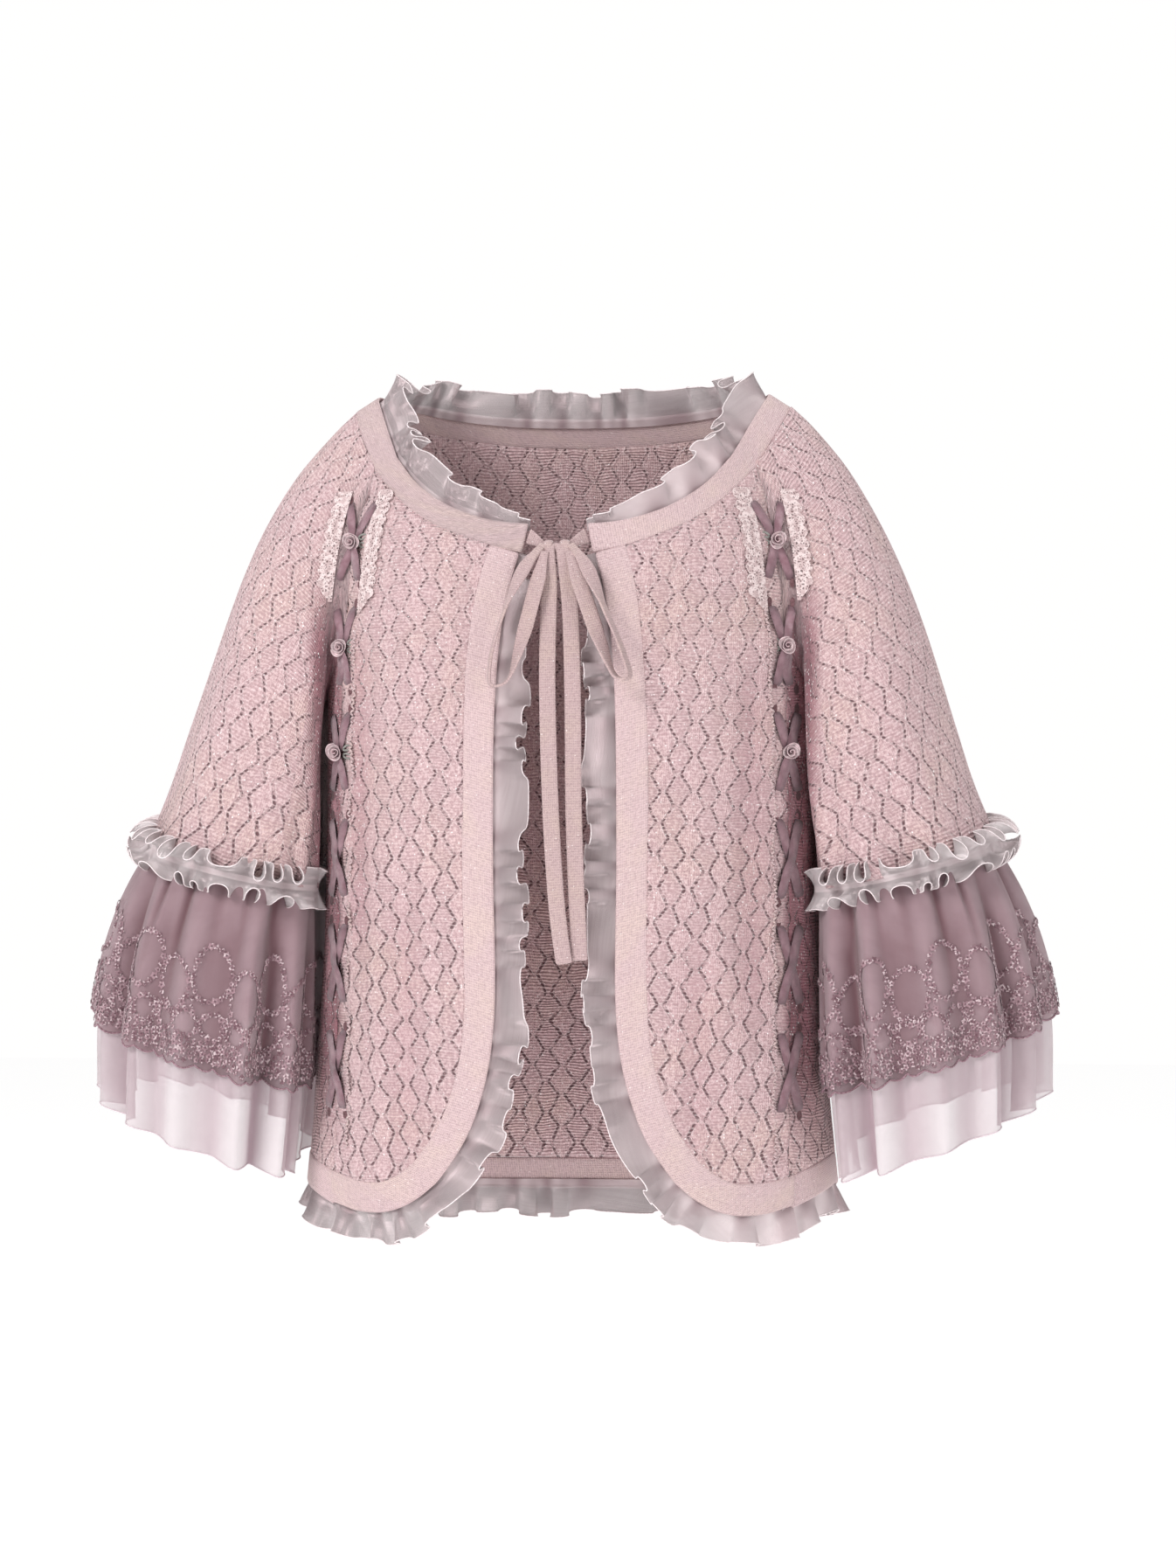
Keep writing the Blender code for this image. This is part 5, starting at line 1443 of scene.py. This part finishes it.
embroidery = {
    # rings of flowers: distance from ring to ring, radii, height over the hem, and shift of every second ring
    "rings": ((38.0, (17.5, 19.5), 57.0, 6.0), (24.0, (10.5, 9.0), 27.0, 0.0)), "spacing": 5.2,
    "sprig": (5, 4.6, 21, 0.8),  # flowers, radius, distance below the rings and scale
    # rows of the border: height over the hem, distance from flower to flower, and scale
    "rows": ((3.0, 5.0, 0.9), (7.0, 5.4, 1.0), (11.5, 5.2, 1.05), (15.5, 5.6, 0.85)),
    "flower": 2.85, "petals": 5, "notch": 0.62, "lift": 0.5, "middle": 0.9, "tip": 0.35, "hemGap": 1.5,
    "edge": 0.8,
}


def ringOfFlowers(centre, height, radii, count, k):
    for i in range(count):
        angle = 2 * math.pi * (i + 0.5 * (k % 2)) / count
        wobble = 1.0 + 0.05 * math.sin(3 * angle + k)
        yield (centre + radii[0] * wobble * math.cos(angle), height + radii[1] * wobble * math.sin(angle),
               1.0 + 0.16 * math.sin(5.1 * k + 2.3 * i))


def sprigOfFlowers(centre, height):
    count, radius, below, scale = embroidery["sprig"]
    for i in range(count):
        angle = 2 * math.pi * i / count
        yield centre + radius * math.cos(angle), height - below + radius * math.sin(angle), scale


def embroideredPlaces(hemLength):  # across, up and scale of every flower, in millimetres on the cloth
    places = []
    for step, radii, height, shift in embroidery["rings"]:
        count = 2 * round(hemLength / step / 2)
        flowers = round(math.pi * (radii[0] + radii[1]) / embroidery["spacing"])
        for k in range(count):
            centre = (k + 0.5) / count * hemLength
            raised = height + shift * (1 if k % 2 else -1)
            places += ringOfFlowers(centre, raised, radii, flowers, k)
            if shift:  # a small sprig between the large rings
                places += sprigOfFlowers(centre + hemLength / count / 2, raised)
    for height, step, scale in embroidery["rows"]:
        count = round(hemLength / step)
        for k in range(count):
            across = (k + 0.5 * (height > 5)) / count * hemLength
            places.append((across, height + 0.9 * math.sin(2.2 * k), scale))
    return places


def addFlower(bm, layer, point, normal, scale, n):
    look, count = embroidery, 2 * embroidery["petals"]
    right = unit(np.cross(normal, np.array([0.3 * math.sin(n), 0.2, 1.0])))
    up = np.cross(right, normal)
    middle = bm.verts.new((point + normal * (look["lift"] + look["middle"])) * mm)
    rim = []
    for k in range(count):
        angle = 2 * math.pi * k / count + n
        radius = look["flower"] * scale * (1.0 if k % 2 else look["notch"])
        place = point + (right * math.cos(angle) + up * math.sin(angle)) * radius
        rim.append(bm.verts.new((place + normal * (look["lift"] + (look["tip"] if k % 2 else 0.0))) * mm))
    for k in range(count):
        face = bm.faces.new((middle, rim[(k + 1) % count], rim[k]))
        for loop in face.loops:
            loop[layer].uv = (0.0 if loop.vert is middle else 1.0, 0.5 + 0.5 * math.sin(1.7 * n))


def flowersMesh(name, grid):
    normals = -normalsOf(grid, True)
    rows, columns = grid.shape[0] - 1, grid.shape[1] - 1
    hem = lengths(grid[-1])
    bm = bmesh.new()
    layer = bm.loops.layers.uv.new("cloth")
    for n, (across, height, scale) in enumerate(embroideredPlaces(hem[-1])):
        c = float(np.interp(across % hem[-1], hem, np.arange(columns + 1)))
        r = rows * (1.0 - (height + embroidery["hemGap"]) / flounce["upper"])
        i, j = min(int(r), rows - 1), min(int(c), columns - 1)
        a, b = r - i, c - j
        weights = ((1 - a) * (1 - b), (1 - a) * b, a * (1 - b), a * b)
        corners = ((i, j), (i, j + 1), (i + 1, j), (i + 1, j + 1))
        point = sum(w * grid[corner] for w, corner in zip(weights, corners))
        normal = unit(sum(w * normals[corner] for w, corner in zip(weights, corners)))
        addFlower(bm, layer, point, normal, scale, n)
    return meshFrom(bm, name)


for name, side in bothSides:
    shown = mirrored(upperShape[0]) if side < 0 else upperShape[0]
    addPiece(f"flowers_{name}", flowersMesh(f"flowers_{name}", shown), "embroidery", "mauve")
    threadPiece(f"scallopEdge_{name}", shown[-1, :-1], embroidery["edge"], "embroideryEdge", "mauve", True, 5)
print("embroidery made")


# knot and ties to the neckband

def wrap(x, y, over, tilt, halfHeight, halfDepth, width):  # a strip wound once round the knot
    turns = turnsRound(bow["wrapSteps"], 1)
    grid = np.zeros((len(turns), 5, 3))
    for c in range(5):
        way = (c / 4 - 0.5) * width
        bulge = bow["wrapBulge"] * math.cos(math.pi * (c / 4 - 0.5))
        grid[:, c, 0] = x + way + tilt * np.sin(turns)
        grid[:, c, 1] = y - (halfDepth + bulge) * np.cos(turns)
        grid[:, c, 2] = bow["knotHeight"] + over + (halfHeight + bulge) * np.sin(turns)
    return grid


wraps = joined("knotWraps", [sheetMesh("wrap", wrap(*values), closed=True) for values in bow["wraps"]])
knot = addPiece("knotWraps", wraps, "tie", "band", "bow_knot")
thicken(knot, bow["wrapThick"], -1.0)
soften(knot)
for name, side in bothSides:
    start = onBody(side * bow["tieStart"][0], bow["tieStart"][1])
    x, y, over = bow["tieEnd"]
    end = np.array([side * x, y, bow["knotHeight"] + over])
    line = through((start, (start + end) / 2 + np.array([0.0, -1.0, 0.5]), end), 24)
    grid = strip(line, (0, 0, 1), widening(line, (-1,), bow["tieGather"], bow["tieLength"]))
    piece = tiePiece(f"tieKnit_{name}", grid, f"tie_{name}")
    tieCut(line)
print("bow finished")


# floor and light

studio = {
    "floor": (6.0, (0.0, 2.0, -1.0)), "floorColour": (0.92, 0.92, 0.92), "floorGlow": 0.6,
    "air": (1.0, 0.99, 0.985, 1.0), "asLight": 0.40, "asSeen": 1.01, "aim": (0.0, 0.0, -0.3),
    # place, size and power
    "lights": {"key": ((-1.7, -2.4, 1.5), 1.3, 80.0), "fill": ((2.2, -2.0, 0.4), 1.8, 24.0),
               "top": ((0.2, 0.6, 2.2), 1.6, 28.0)},
}

bm = bmesh.new()
bmesh.ops.create_grid(bm, x_segments=1, y_segments=1, size=studio["floor"][0],
                      matrix=Matrix.Translation(studio["floor"][1]))
floor = bpy.data.objects.new("floor", meshFrom(bm, "floor"))
bpy.context.scene.collection.objects.link(floor)
paint = material("floorPaint", studio["floorColour"], 0.9, Emission_Color=(1.0, 1.0, 1.0, 1.0),
                 Emission_Strength=studio["floorGlow"])
floor.data.materials.append(paint)

world = bpy.data.worlds.new("studio")
bpy.context.scene.world = world
world.use_nodes = True
background = world.node_tree.nodes["Background"]
seen = node(world.node_tree, "ShaderNodeLightPath").outputs["Is Camera Ray"]
strength = node(world.node_tree, "ShaderNodeMapRange",  # white to look at, and dimmer as a light
                {"Value": seen, "To Min": studio["asLight"], "To Max": studio["asSeen"]}).outputs["Result"]
fill(background, {"Color": studio["air"], "Strength": strength})


def softLight(name, place, size, power):
    light = bpy.data.lights.new(name, "AREA")
    light.shape, light.size, light.energy = "SQUARE", size, power
    lamp = bpy.data.objects.new(name, light)
    bpy.context.scene.collection.objects.link(lamp)
    lamp.location = place
    lamp.rotation_euler = (Vector(studio["aim"]) - Vector(place)).to_track_quat("-Z", "Y").to_euler()


for name, values in studio["lights"].items():
    softLight(name, *values)
bpy.context.scene.view_settings.view_transform = "Standard"
print("light set")
